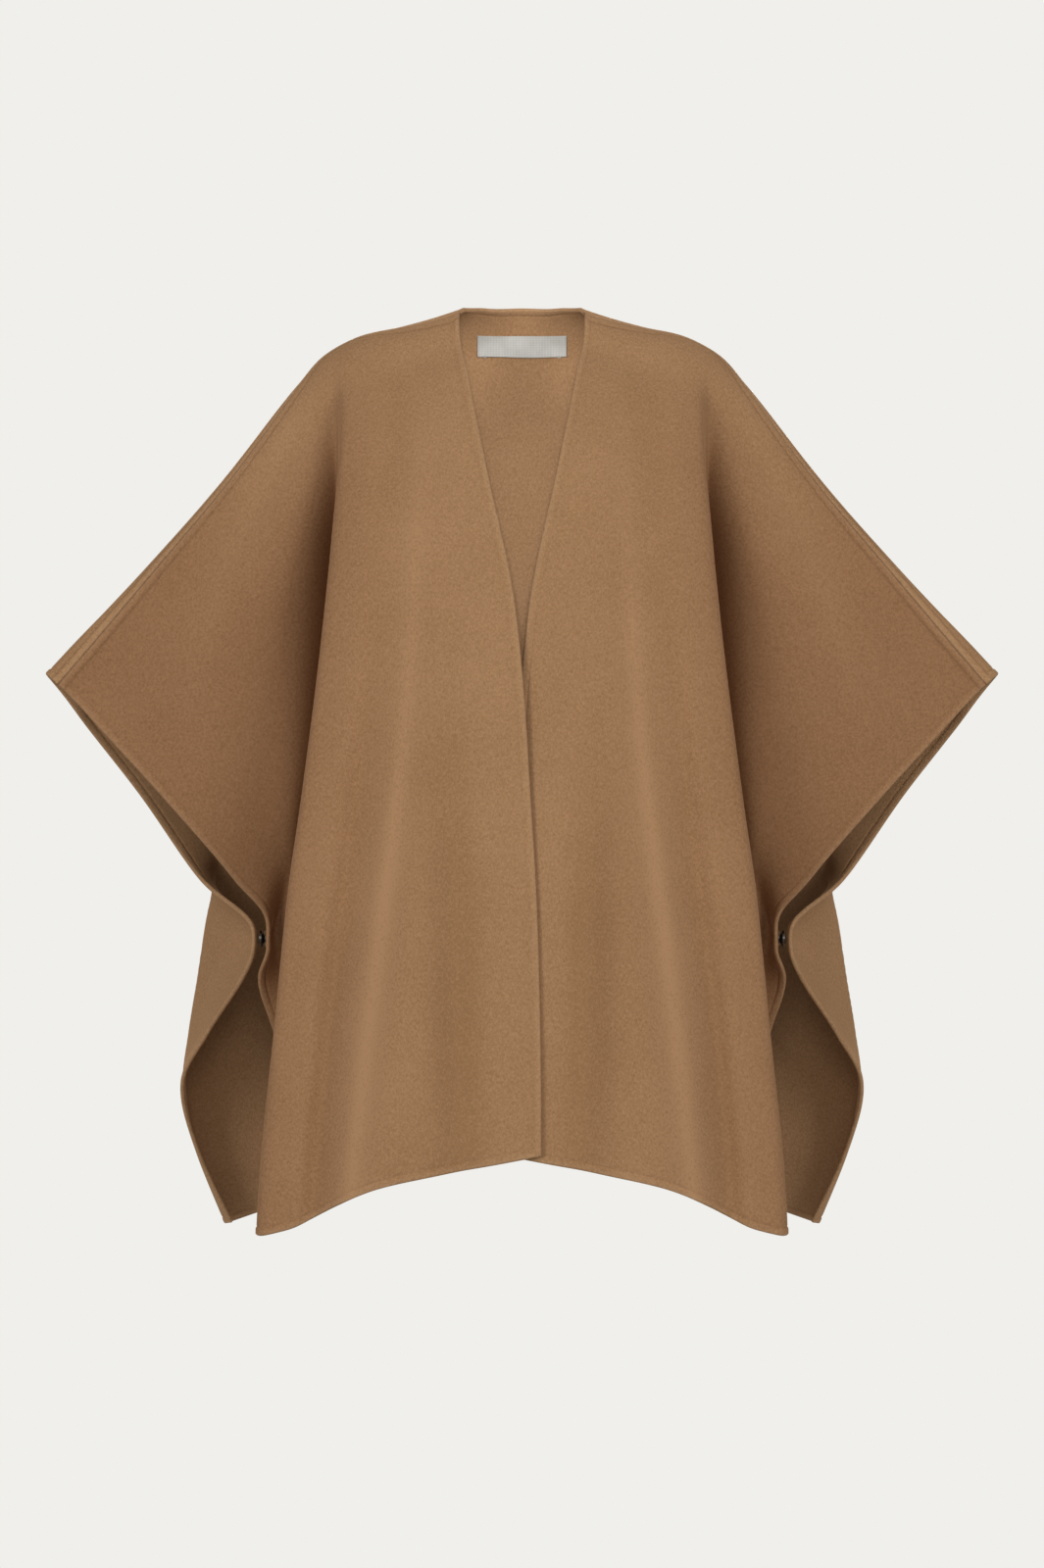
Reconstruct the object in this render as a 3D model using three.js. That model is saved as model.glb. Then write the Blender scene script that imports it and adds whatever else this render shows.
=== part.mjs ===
// Wool cape with an open front: two front panels and one back panel joined along the overarm seams,
// a small bare label inside the back neck and a snap that joins the side edges under each arm.
// Millimetres, +Z up. The origin lies on the shoulder line, midway between the two neck corners.
// X runs to the wearer's left, -Y to the front. One half is worked out and mirrored to the other.
// A point of a half is [out, back, up]: out from the middle, back from the shoulder line, up from it.
import * as THREE from "three";

// Driving sizes of the cloth
const WALL = 3;
const TURNED_EDGE = 1.2; // a turned-in edge is this much thicker than the single wall
const TURNED_EDGE_WIDTH = 9;
const SEAM_GAP = 0.3;
const FRONT_EDGE_LENGTH = 845;
const FRONT_SIDE_LENGTH = 615;
const BACK_CENTRE_LENGTH = 850;
const BACK_SIDE_LENGTH = 675;
const LAP_DEPTH = 10; // how far the lower front edge stands behind the upper one
const LAP_SHARE = { from: 0.28, to: 0.41, across: 2 };
const HEM_SAG = 10; // the front hem hangs this much lower beside the deep fold
const HEM_SAG_FROM = 0.7;
const ROLL_SHARE = 0.12; // the share of a panel's drop over which it leaves the shoulder roll
const ROLL_KEPT = { front: 0.1, back: 0.4 };

// Driving sizes of the label and the snaps
const LABEL = { width: 88, height: 20, thickness: 0.8, gap: 0.4, below: 28 };
const SNAP = { radius: 8, disc: 1.4, bevel: 0.5, post: 2.2, postShare: 0.6, clearance: 0.35, seat: 1.3,
  inset: 11, share: 0.52 };
const SNAP_SIDES = 28;
const SNAP_HOLLOW = 10; // how far the cloth beside the snap stands back
const SNAP_REACH = 0.06; // share of the drop over which a snap straightens the side edges
const FLANGE = 24; // the strip by the side edge that the snap holds
const LEAST_FLANGE = 6;
// Where the snap holds the side edges, and how far out each flange leans towards its edge
const PINCH = { front: 243, back: 257, depth: -56, frontLean: 0.04, backLean: -0.22 };

// How the cloth rounds between the points of its sections
const TOP_FOLD = 30; // radius of the side folds where they start at the seam
const BOW = { chest: 0.04, rib: 0.03 }; // share of the distance of two points by which it bows out
const FOLD_SHARE = 0.33; // a fold's crest and its valley each take up at most this share of its depth
const VALLEY_RADIUS = { front: 1.5, back: 1.3 }; // times the radius of the crest
const RISE_SHARE = 0.3; // a bend takes up at most this share of the cloth beside it
const ROLL_BEND = 30; // how far the roll of the back reaches to each side
const FLANGE_SHARE = { front: 0.3, back: 0.4 }; // a flange takes up at most this share of the sleeve
const WRAP_SHARE = 0.6; // from the back's roll to its flange

// Mesh fineness: rows down a panel, and columns in each gap between its rails
const ROWS = 25;
const ROW_CROWDING = 1.6; // rows crowd towards the shoulder roll
const ROWS_BY_SNAP = [-0.04, -0.02, 0, 0.02, 0.04, 0.065, 0.09, 0.12, 0.15];
const SNAP_ROW_ROOM = 0.01;
const LABEL_ROW_ROOM = 0.004;
const FRONT_COLUMNS = [2, 2, 2, 1, 2, 2, 1, 2, 2, 2, 3, 3, 2];
const FRONT_INSETS = { edge: 0.13, side: 0.4 }; // extra columns just inside the turned edges
const LABEL_COLUMNS = 3; // columns of the back panel between its middle and the label's end

// The shoulder and arm line, from the middle of the neck to the tip of the sleeve: where the cloth
// rolls over, the radius of the roll, and the angle on it where the neck edge or overarm seam lies
// (minus is in front of the line).
const RIDGE = [
  { point: [0, 16, 24], radius: 42, cut: 50 },
  { point: [34, 12, 13.8], radius: 42, cut: 32 },
  { point: [54, 8, 4.6], radius: 36, cut: 0 },
  { point: [60.5, 8, 4], radius: 32, cut: -46 },
  { point: [84, 7, -3.5], radius: 34, cut: -36 },
  { point: [118, 6, -13.5], radius: 38, cut: -26 },
  { point: [162, 5, -25.5], radius: 42, cut: -10 },
  { point: [190, 3, -41.5], radius: 42, cut: -12 },
  { point: [215, 1, -68], radius: 40, cut: -26 },
  { point: [292, -3, -164], radius: 32, cut: -44 },
  { point: [366, -6, -246], radius: 25, cut: -61 },
  { point: [460, -8, -349], radius: 18, cut: -87 },
];
const NECK_CORNER = 3; // row of the neck corner in RIDGE
const NECK_LEAN = 0.04; // over this measure the roll comes upright, inward of the neck corner

// Sections across one front panel, from the overarm seam down to the hem: the front edge, the bust
// line, the crest of the deep side fold, the valley behind it, and the side edge.
const FRONT_SECTIONS = [
  { share: 0.12, edge: [50, -62, -72], bust: [112, -72, -92], crest: [170, -72, -102],
    valley: [176, -66, -128], side: [389, -40, -421], fold: 26 },
  { share: 0.25, edge: [33, -110, -158], bust: [113, -128, -190], crest: [178, -112, -212],
    valley: [176, -84, -250], side: [336, -54, -478], fold: 20 },
  { share: 0.4, edge: [7, -143, -283], bust: [119, -163, -322], crest: [192, -145, -345],
    valley: [187, -80, -428], side: [275, -60, -549], fold: 17 },
  { share: 0.51, edge: [-3, -153, -385], bust: [125, -171, -425], crest: [205, -157, -468],
    valley: [211, -42, -572], side: [242, -56, -600], fold: 16 },
  { share: 0.6, edge: [-8, -159, -465], bust: [132, -176, -506], crest: [217, -161, -548],
    valley: [221, -22, -638], side: [255, -40, -640], fold: 18 },
  { share: 0.7, edge: [-13, -164, -548], bust: [139, -179, -590], crest: [229, -164, -635],
    valley: [212, -30, -696], side: [239, -12, -700], fold: 20 },
  { share: 0.85, edge: [-17, -170, -677], bust: [149, -182, -715], crest: [242, -167, -762],
    valley: [216, -36, -788], side: [225, 18, -785], fold: 24 },
  { share: 1, edge: [-18, -176, -803], bust: [156, -184, -835], crest: [250, -170, -880],
    valley: [214, -30, -878], side: [202, 62, -872], fold: 26 },
];

// Sections across one half of the back panel: the middle, the shoulder blade, the crest of the back
// fold, the valley beside it, the roll that turns forward, and the side edge.
const BACK_SECTIONS = [
  { share: 0.12, middle: [0, 70, -88], blade: [105, 72, -113], crest: [160, 58, -128],
    valley: [172, 52, -150], roll: [300, 42, -330], side: [428, 12, -394], fold: 34 },
  { share: 0.25, middle: [0, 102, -193], blade: [105, 106, -218], crest: [170, 88, -238],
    valley: [176, 70, -270], roll: [308, 50, -440], side: [375, 30, -464], fold: 34 },
  { share: 0.4, middle: [0, 128, -318], blade: [105, 132, -343], crest: [184, 117, -365],
    valley: [182, 84, -400], roll: [302, 62, -535], side: [314, 22, -549], fold: 34 },
  { share: 0.51, middle: [0, 143, -410], blade: [108, 147, -438], crest: [194, 134, -465],
    valley: [190, 92, -500], roll: [315, 68, -592], side: [262, -56, -600], fold: 34 },
  { share: 0.6, middle: [0, 152, -485], blade: [110, 156, -515], crest: [202, 144, -548],
    valley: [197, 98, -580], roll: [322, 70, -646], side: [269, -42, -641], fold: 34 },
  { share: 0.7, middle: [0, 160, -568], blade: [114, 165, -598], crest: [210, 154, -632],
    valley: [206, 98, -660], roll: [328, 72, -700], side: [304, -14, -697], fold: 34 },
  { share: 0.8, middle: [0, 168, -652], blade: [118, 173, -683], crest: [217, 162, -716],
    valley: [212, 102, -738], roll: [332, 80, -754], side: [330, 14, -746], fold: 34 },
  { share: 0.9, middle: [0, 175, -738], blade: [122, 180, -768], crest: [223, 169, -798],
    valley: [218, 108, -812], roll: [323, 94, -816], side: [319, 44, -810], fold: 34 },
  { share: 1, middle: [0, 182, -824], blade: [126, 186, -848], crest: [229, 176, -866],
    valley: [222, 116, -868], roll: [295, 116, -893], side: [286, 75, -888], fold: 34 },
];

// Soft folds, each a long bump that stands proud of its panel, or sinks where proud is minus. The rail
// numbers count from the front edge or the middle of the back; from and to are shares of the drop.
const FRONT_FOLDS = [
  { name: "hollow under the shoulder", rail: 2.3, drift: 0.1, width: 0.55, proud: -4, from: 0.02, to: 0.3 },
  { name: "inner ridge", rail: 1.6, drift: 0.1, width: 0.32, proud: 3, from: 0.16, to: 0.95 },
  { name: "inner trough", rail: 1.15, drift: -0.1, width: 0.3, proud: -5, from: 0.42, to: 1.02 },
  { name: "outer trough", rail: 3.1, drift: 0.1, width: 0.5, proud: -8, from: 0.26, to: 1.1 },
  { name: "deep valley", rail: 8.3, drift: 0, width: 1.15, proud: -56, from: 0.05, to: 0.48 },
];
const BACK_FOLDS = [
  { name: "middle ridge", rail: 0, drift: 0, width: 0.8, proud: 12, from: 0.25, to: 1.6 },
  { name: "inner trough", rail: 1.6, drift: 0.15, width: 0.6, proud: -20, from: 0.18, to: 1.6 },
  { name: "blade ridge", rail: 2.9, drift: 0.2, width: 0.55, proud: 12, from: 0.12, to: 1.5 },
  { name: "outer trough", rail: 4.1, drift: 0.1, width: 0.5, proud: -16, from: 0.22, to: 1.6 },
];

const LOOKS = {
  wool: { color: 0x967250, roughness: 0.95, metalness: 0 },
  label: { color: 0xbbb8b3, roughness: 0.8, metalness: 0 },
  snap: { color: 0x4b4640, roughness: 0.35, metalness: 0.9 },
};

const QUARTER_TURN = Math.PI / 2;
const TINY = 1e-9; // keeps a length of nothing from being divided by
const STEP = 1e-3; // for slopes
const NORMAL_REACH = 0.008; // share of the drop to each side of a point, for its normal
const RAIL_REACH = 30; // rail numbers in a whole drop's share
const CLEARLY = 1.25; // a diagonal is clearly shorter than another one that is this much longer
const HALVINGS = 40; // of an interval, to find where a measure is met

const add = (a, b, k = 1) => a.map((x, i) => x + k * b[i]);
const lerp = (a, b, k) => a.map((x, i) => x + k * (b[i] - x));
const size = (a) => Math.hypot(...a);
const unit = (a) => a.map((x) => x / Math.max(size(a), TINY));
const distance = (a, b) => size(add(b, a, -1));
const clamp = (x, low = 0, high = 1) => Math.min(high, Math.max(low, x));
const ease = (x) => clamp(x) ** 2 * (3 - 2 * clamp(x));
const cross = (a, b) => [
  a[1] * b[2] - a[2] * b[1],
  a[2] * b[0] - a[0] * b[2],
  a[0] * b[1] - a[1] * b[0],
];

// A smooth curve through rows of numbers: cubic spans whose slopes come from the neighbouring rows.
function through(knots, rows) {
  const last = knots.length - 1;
  const gap = (i) => knots[i + 1] - knots[i];
  const rise = (i, c) => (rows[i + 1][c] - rows[i][c]) / gap(i);
  const inner = (i, c) => (rise(i - 1, c) * gap(i) + rise(i, c) * gap(i - 1)) / (gap(i - 1) + gap(i));
  const slopes = rows.map((row, i) => row.map((_, c) => {
    if (i === 0) return 1.5 * rise(0, c) - 0.5 * inner(1, c);
    if (i === last) return 1.5 * rise(last - 1, c) - 0.5 * inner(last - 1, c);
    return inner(i, c);
  }));
  return (x) => {
    let i = 0;
    while (i < last - 1 && x >= knots[i + 1]) i += 1;
    const h = gap(i);
    const t = (x - knots[i]) / h;
    return rows[i].map((_, c) => (2 * t ** 3 - 3 * t ** 2 + 1) * rows[i][c]
      + (t ** 3 - 2 * t ** 2 + t) * h * slopes[i][c]
      + (3 * t ** 2 - 2 * t ** 3) * rows[i + 1][c]
      + (t ** 3 - t ** 2) * h * slopes[i + 1][c]);
  };
}

// A rounded curve that follows a row of rails at rail number t: a uniform cubic B-spline. It ends on
// the last rail, and on the first one too unless a rail beyond it is given.
function along(rails, t, beyond) {
  const n = rails.length;
  const first = beyond ?? add(add(rails[0], rails[0]), rails[1], -1);
  const end = add(add(rails[n - 1], rails[n - 1]), rails[n - 2], -1);
  const held = [first, ...rails, end];
  const i = clamp(Math.floor(t), 0, n - 2);
  const f = t - i;
  const weights = [(1 - f) ** 3, 3 * f ** 3 - 6 * f ** 2 + 4, -3 * f ** 3 + 3 * f ** 2 + 3 * f + 1, f ** 3];
  return rails[0].map((_, c) => weights.reduce((sum, w, k) => sum + (w * held[i + k][c]) / 6, 0));
}

const mirrorX = ([x, y, z]) => [-x, y, z];

// Where the roll's cut lies on each row, and the measure along it: 0 at the neck corner, 1 at the tip.
// One mirrored row beyond the middle keeps the neck smooth there.
const ridgeRows = [{ ...RIDGE[1], point: mirrorX(RIDGE[1].point) }, ...RIDGE];
const cutPoints = ridgeRows.map(({ point, radius, cut }) => {
  const angle = THREE.MathUtils.degToRad(cut);
  return add(point, [0, radius * Math.sin(angle), radius * (Math.cos(angle) - 1)]);
});
const cutLengths = cutPoints.map((_, i) => {
  let total = 0;
  for (let k = 0; k < i; k += 1) total += distance(cutPoints[k], cutPoints[k + 1]);
  return total;
});
const toNeck = cutLengths[NECK_CORNER + 1];
const ridgeKnots = cutLengths.map((l) => (l - toNeck) / (cutLengths.at(-1) - toNeck));
const ridgeAt = through(ridgeKnots, ridgeRows.map(({ point, radius, cut }) => [...point, radius, cut]));

// A point of the shoulder roll, s along the cloth from the cut; facing is -1 to the front and 1 to the
// back. Past a quarter turn the cloth hangs straight.
function rollPoint(q, s, facing) {
  const [out, back, up, radius, cut] = ridgeAt(q);
  const before = ridgeAt(q - STEP);
  const after = ridgeAt(q + STEP);
  const normal = unit([ease(1 + q / NECK_LEAN) * (before[2] - after[2]), 0, after[0] - before[0]]);
  const angle = THREE.MathUtils.degToRad(cut) + (facing * s) / radius;
  const turned = clamp(angle, -QUARTER_TURN, QUARTER_TURN);
  const hanging = Math.abs(angle - turned) * radius;
  const sunk = radius * (1 - Math.cos(turned)) + hanging;
  return add([out, back + radius * Math.sin(turned), up], normal, -sunk);
}

// One rail of a panel: its points in the sections, led up to the overarm seam.
function rail(sections, column, seam, facing) {
  const rows = sections.map((section) => section[column]);
  const knots = sections.map((section) => section.share);
  return through([0, ...knots], [rollPoint(seam, SEAM_GAP / 2, facing), ...rows]);
}

// A size that changes down the sections, from its value at the seam.
const sizeColumn = (sections, column, top) => through(
  [0, ...sections.map((section) => section.share)],
  [[top], ...sections.map((section) => [section[column]])],
);

// How near a share of the drop is to the snap, 1 at the snap and 0 away from it.
const nearSnap = (v) => Math.exp(-(((v - SNAP.share) / SNAP_REACH) ** 2));
// The snap draws a side edge to one place.
const pinch = (edge, out, v) => lerp(edge, [out, PINCH.depth, edge[2]], nearSnap(v));

// Where the sections' rails leave the seam, by the measure along it; the full rows of rails follow below.
const FRONT_SEAM = { edge: 0, bust: 0.113, crest: 0.212, valley: 0.262, side: 1 };
const frontRails = {};
for (const [name, seam] of Object.entries(FRONT_SEAM)) {
  frontRails[name] = rail(FRONT_SECTIONS, name, seam, -1);
}
const frontFold = sizeColumn(FRONT_SECTIONS, "fold", TOP_FOLD);

// The rails across a front panel at share v, from the front edge to the side edge.
function acrossFront(v) {
  const [edge, bust, crest, valley, free] = Object.values(frontRails).map((at) => at(v));
  const side = pinch(free, PINCH.front, v);
  const radius = frontFold(v)[0];
  const chest = add(lerp(edge, bust, 0.5), [0, -1, 0], BOW.chest * distance(edge, bust));
  const sag = HEM_SAG * ease((v - HEM_SAG_FROM) / (1 - HEM_SAG_FROM));
  const rib = add(lerp(bust, crest, 0.5), [0, -BOW.rib * distance(bust, crest), -sag]);
  const most = FOLD_SHARE * distance(valley, crest);
  const valleyRadius = VALLEY_RADIUS.front * radius;
  const turnIn = add(crest, unit(add(rib, crest, -1)), radius);
  const turnOut = add(crest, unit(add(valley, crest, -1)), Math.min(radius, most));
  const sink = add(valley, unit(add(crest, valley, -1)), Math.min(valleyRadius, most));
  const flat = unit(add(valley, side, -1));
  const held = unit(lerp(flat, [PINCH.frontLean, 1, 0], nearSnap(v)));
  const room = FLANGE_SHARE.front * distance(valley, side) + LEAST_FLANGE;
  const flange = add(side, held, Math.min(FLANGE, room));
  const rise = lerp(valley, flange, Math.min(RISE_SHARE, valleyRadius / distance(valley, flange)));
  const sleeveIn = lerp(valley, flange, 0.5);
  const sleeveOut = add(lerp(valley, flange, 0.75), [0, SNAP_HOLLOW * nearSnap(v), 0]);
  return [edge, chest, bust, rib, turnIn, crest, turnOut, sink, valley, rise, sleeveIn, sleeveOut,
    flange, side];
}
// Where each of those rails meets the overarm seam: 0 at the neck corner, 1 at the tip.
const FRONT_TOPS = [0, 0.06, 0.113, 0.165, 0.195, 0.212, 0.228, 0.245, 0.262, 0.3, 0.5, 0.75, 0.955, 1];

const neckMiddle = ridgeKnots[1];
const BACK_SEAM = { middle: neckMiddle, blade: 0.1, crest: 0.2, valley: 0.255, roll: 0.7, side: 1 };
const backRails = {};
for (const [name, seam] of Object.entries(BACK_SEAM)) {
  backRails[name] = rail(BACK_SECTIONS, name, seam, 1);
}
const backFold = sizeColumn(BACK_SECTIONS, "fold", TOP_FOLD);

// The rails across half of the back panel at share v, from the middle to the side edge.
function acrossBack(v) {
  const [middle, blade, crest, valley, roll, free] = Object.values(backRails).map((at) => at(v));
  const side = pinch(free, PINCH.back, v);
  const radius = backFold(v)[0];
  const rib = add(lerp(blade, crest, 0.5), [0, 1, 0], BOW.rib * distance(blade, crest));
  const most = FOLD_SHARE * distance(valley, crest);
  const valleyRadius = VALLEY_RADIUS.back * radius;
  const turnIn = add(crest, unit(add(rib, crest, -1)), radius);
  const turnOut = add(crest, unit(add(valley, crest, -1)), Math.min(radius, most));
  const sink = add(valley, unit(add(crest, valley, -1)), Math.min(valleyRadius, most));
  const rise = lerp(valley, roll, Math.min(RISE_SHARE, valleyRadius / distance(valley, roll)));
  const sleeve = lerp(valley, roll, 0.5);
  const rollIn = lerp(roll, sleeve, Math.min(RISE_SHARE, ROLL_BEND / distance(sleeve, roll)));
  const flat = unit(add(roll, side, -1));
  const held = unit(lerp(flat, [PINCH.backLean, 1, 0], nearSnap(v)));
  const flange = add(side, held, Math.min(FLANGE, FLANGE_SHARE.back * distance(roll, side)));
  const rollOut = lerp(roll, flange, Math.min(RISE_SHARE, ROLL_BEND / distance(flange, roll)));
  const wrap = lerp(roll, flange, WRAP_SHARE);
  return [middle, lerp(middle, blade, 1 / 3), lerp(middle, blade, 2 / 3), blade, rib, turnIn, crest,
    turnOut, sink, valley, rise, sleeve, rollIn, roll, rollOut, wrap, flange, side];
}
// Where each of those rails meets the neck edge, where minus, or the overarm seam.
const BACK_TOPS = [neckMiddle, 0.45 * neckMiddle, 0, 0.1, 0.15, 0.18, 0.2, 0.22, 0.24, 0.26, 0.3, 0.45,
  0.6, 0.7, 0.78, 0.87, 0.955, 1];
const BLADE_RAIL = 3;

// How far the soft folds stand proud at rail number t and share v.
function foldHeight(folds, t, v) {
  return folds.reduce((sum, fold) => {
    const share = clamp((v - fold.from) / (fold.to - fold.from));
    const across = (t - fold.rail - fold.drift * share) / fold.width;
    return sum + fold.proud * Math.sin(Math.PI * share) ** 1.5 * Math.exp(-(across ** 2));
  }, 0);
}

// A panel's middle surface at rail number t and share v: over the shoulder roll, then down its rails.
function makeSurface({ rails, tops, facing, kept, folds, length, mirrored }) {
  const topOf = (t) => along(tops.map((q) => [q]), t)[0];
  const spread = (v, t) => {
    const held = rails(v);
    return along(held, t, mirrored ? [-held[1][0], held[1][1], held[1][2]] : undefined);
  };
  return (t, v) => {
    const hung = spread(v, t);
    const proud = facing * foldHeight(folds, t, v);
    if (v >= ROLL_SHARE) return add(hung, [0, proud, 0]);
    const q = topOf(t);
    const drop = length(q);
    const x = v / ROLL_SHARE;
    const miss = add(spread(ROLL_SHARE, t), rollPoint(q, ROLL_SHARE * drop, facing), -1);
    const rolled = add(rollPoint(q, SEAM_GAP / 2 + v * drop, facing), miss, x * x);
    return add(lerp(rolled, hung, ease((x - kept) / (1 - kept))), [0, proud, 0]);
  };
}

const frontForm = makeSurface({
  rails: acrossFront,
  tops: FRONT_TOPS,
  facing: -1,
  kept: ROLL_KEPT.front,
  folds: FRONT_FOLDS,
  length: (q) => FRONT_EDGE_LENGTH + q * (FRONT_SIDE_LENGTH - FRONT_EDGE_LENGTH),
});
const backForm = makeSurface({
  rails: acrossBack,
  tops: BACK_TOPS,
  facing: 1,
  kept: ROLL_KEPT.back,
  folds: BACK_FOLDS,
  length: (q) => BACK_CENTRE_LENGTH + clamp(q) * (BACK_SIDE_LENGTH - BACK_CENTRE_LENGTH),
  mirrored: true,
});

// The lower front panel steps back where the upper one laps over it.
function lappedForm(t, v) {
  const under = ease((v - LAP_SHARE.from) / (LAP_SHARE.to - LAP_SHARE.from));
  const near = 1 - ease(t / LAP_SHARE.across);
  return add(frontForm(t, v), [0, 1, 0], LAP_DEPTH * under * near);
}

// The outward normal of a form. Across x down points backward, so it is turned round on a front.
function normalOf(form, t, v, lastRail, facing) {
  const reach = clamp(v / 4, STEP, NORMAL_REACH);
  const [t0, t1] = [Math.max(t - RAIL_REACH * reach, 0), Math.min(t + RAIL_REACH * reach, lastRail)];
  const [v0, v1] = [Math.max(v - reach, 0), Math.min(v + reach, 1)];
  const acrossWay = add(form(t1, v), form(t0, v), -1);
  const downWay = add(form(t, v1), form(t, v0), -1);
  return unit(cross(acrossWay, downWay).map((x) => facing * x));
}

// Rail numbers of the columns, with one more just inside each turned edge.
function columnsOf(perGap, insets) {
  const columns = [0];
  perGap.forEach((count, gap) => {
    for (let k = 1; k <= count; k += 1) columns.push(gap + k / count);
  });
  return [...columns, insets.edge, columns.at(-1) - insets.side].sort((a, b) => a - b);
}

// Shares of the drop at the rows: closer together at the shoulder, by the snap and at the hem, with
// rows that lie along the label's edges.
const labelRows = [LABEL.below, LABEL.below + LABEL.height].map((drop) => drop / BACK_CENTRE_LENGTH);
const snapRows = ROWS_BY_SNAP.map((offset) => SNAP.share + offset);
const evenRows = Array.from({ length: ROWS + 1 }, (_, i) => (i / ROWS) ** ROW_CROWDING);
const isClear = (v, [first, last], room) => v < first - room || v > last + room;
const rowShares = [
  ...evenRows.filter((v) => isClear(v, [snapRows[0], snapRows.at(-1)], SNAP_ROW_ROOM)
    && isClear(v, labelRows, LABEL_ROW_ROOM)),
  ...labelRows,
  ...snapRows,
  1 - TURNED_EDGE_WIDTH / FRONT_EDGE_LENGTH,
].sort((a, b) => a - b);

// Half the thickness of the wall: a turned edge is thicker than the cloth inside it.
function halfWall(points, row, column, edges) {
  const reach = (other) => distance(points[row][column], other);
  const nearest = Math.min(
    edges.first ? reach(points[row][0]) : Infinity,
    edges.last ? reach(points[row].at(-1)) : Infinity,
    edges.bottom ? reach(points.at(-1)[column]) : Infinity,
  );
  const turned = 1 - ease((nearest - TURNED_EDGE_WIDTH) / TURNED_EDGE_WIDTH);
  return (WALL + TURNED_EDGE * turned) / 2;
}

// Where a rising measure reaches the wanted value, found by halving.
function whereReached(measure, low, high, wanted) {
  let [below, above] = [low, high];
  for (let k = 0; k < HALVINGS; k += 1) {
    const middle = (below + above) / 2;
    if (measure(middle) < wanted) below = middle;
    else above = middle;
  }
  return above > high - STEP ? high : above;
}

// The rail number at which the back panel's top has the seam measure q.
const backTops = BACK_TOPS.map((q) => [q]);
const backRailAt = (q) => whereReached((t) => along(backTops, t)[0], 0, BACK_TOPS.length - 1, q);

// A half panel as rows of points with outer and inner faces.
function halfPanel(form, columns, facing, edges) {
  const lastRail = columns.at(-1);
  const points = rowShares.map((v) => columns.map((t) => form(t, v)));
  return rowShares.map((v, row) => columns.map((t, column) => {
    const normal = normalOf(form, t, v, lastRail, facing);
    const half = halfWall(points, row, column, edges);
    return { outer: add(points[row][column], normal, half), inner: add(points[row][column], normal, -half) };
  }));
}

const mirrorCell = ({ outer, inner }) => ({ outer: mirrorX(outer), inner: mirrorX(inner) });

// A closed wall from a grid of outer and inner points: two skins and the rim between them.
function wallGeometry(grid, turnedOver) {
  const rows = grid.length;
  const columns = grid[0].length;
  const positions = [];
  for (const skin of ["outer", "inner"]) {
    for (const line of grid) {
      for (const cell of line) positions.push(...cell[skin]);
    }
  }
  const outer = (i, j) => i * columns + j;
  const inner = (i, j) => rows * columns + outer(i, j);
  const middle = (i, j) => lerp(grid[i][j].outer, grid[i][j].inner, 0.5);
  const index = [];
  const quad = (a, b, c, d) => {
    if (turnedOver) index.push(a, c, b, a, d, c);
    else index.push(a, b, c, a, c, d);
  };
  // Both skins of a cell are cut along the same diagonal: the one that falls away from the middle of the
  // cape, unless the other is clearly shorter.
  for (let i = 0; i < rows - 1; i += 1) {
    for (let j = 0; j < columns - 1; j += 1) {
      const falling = distance(middle(i, j), middle(i + 1, j + 1));
      const rising = distance(middle(i + 1, j), middle(i, j + 1));
      const runsOut = middle(i, j)[0] * (middle(i, j + 1)[0] - middle(i, j)[0]) >= 0;
      const cell = [[i, j], [i + 1, j], [i + 1, j + 1], [i, j + 1]];
      const asItIs = falling < rising * (runsOut ? CLEARLY : 1 / CLEARLY);
      const [first, second, third, fourth] = asItIs ? cell : [...cell.slice(1), cell[0]];
      quad(outer(...first), outer(...second), outer(...third), outer(...fourth));
      quad(inner(...first), inner(...fourth), inner(...third), inner(...second));
    }
  }
  for (let j = 0; j < columns - 1; j += 1) {
    quad(outer(0, j), outer(0, j + 1), inner(0, j + 1), inner(0, j));
    quad(outer(rows - 1, j), inner(rows - 1, j), inner(rows - 1, j + 1), outer(rows - 1, j + 1));
  }
  for (let i = 0; i < rows - 1; i += 1) {
    quad(outer(i, 0), inner(i, 0), inner(i + 1, 0), outer(i + 1, 0));
    quad(outer(i, columns - 1), outer(i + 1, columns - 1), inner(i + 1, columns - 1), inner(i, columns - 1));
  }
  const geometry = new THREE.BufferGeometry();
  geometry.setAttribute("position", new THREE.Float32BufferAttribute(positions, 3));
  geometry.setIndex(index);
  geometry.computeVertexNormals();
  return geometry;
}

const cape = new THREE.Group();
function place(name, geometry, look) {
  const mesh = new THREE.Mesh(geometry, new THREE.MeshStandardMaterial(look));
  mesh.name = name;
  cape.add(mesh);
  return mesh;
}

// The two front panels. The wearer's right one laps over the left one.
const frontColumns = columnsOf(FRONT_COLUMNS, FRONT_INSETS);
const frontEdges = { first: true, last: true, bottom: true };
const rightHalf = halfPanel(frontForm, frontColumns, -1, frontEdges);
const leftHalf = halfPanel(lappedForm, frontColumns, -1, frontEdges);
place("front_right", wallGeometry(rightHalf.map((line) => line.map(mirrorCell)), true), LOOKS.wool);
place("front_left", wallGeometry(leftHalf, false), LOOKS.wool);

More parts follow.
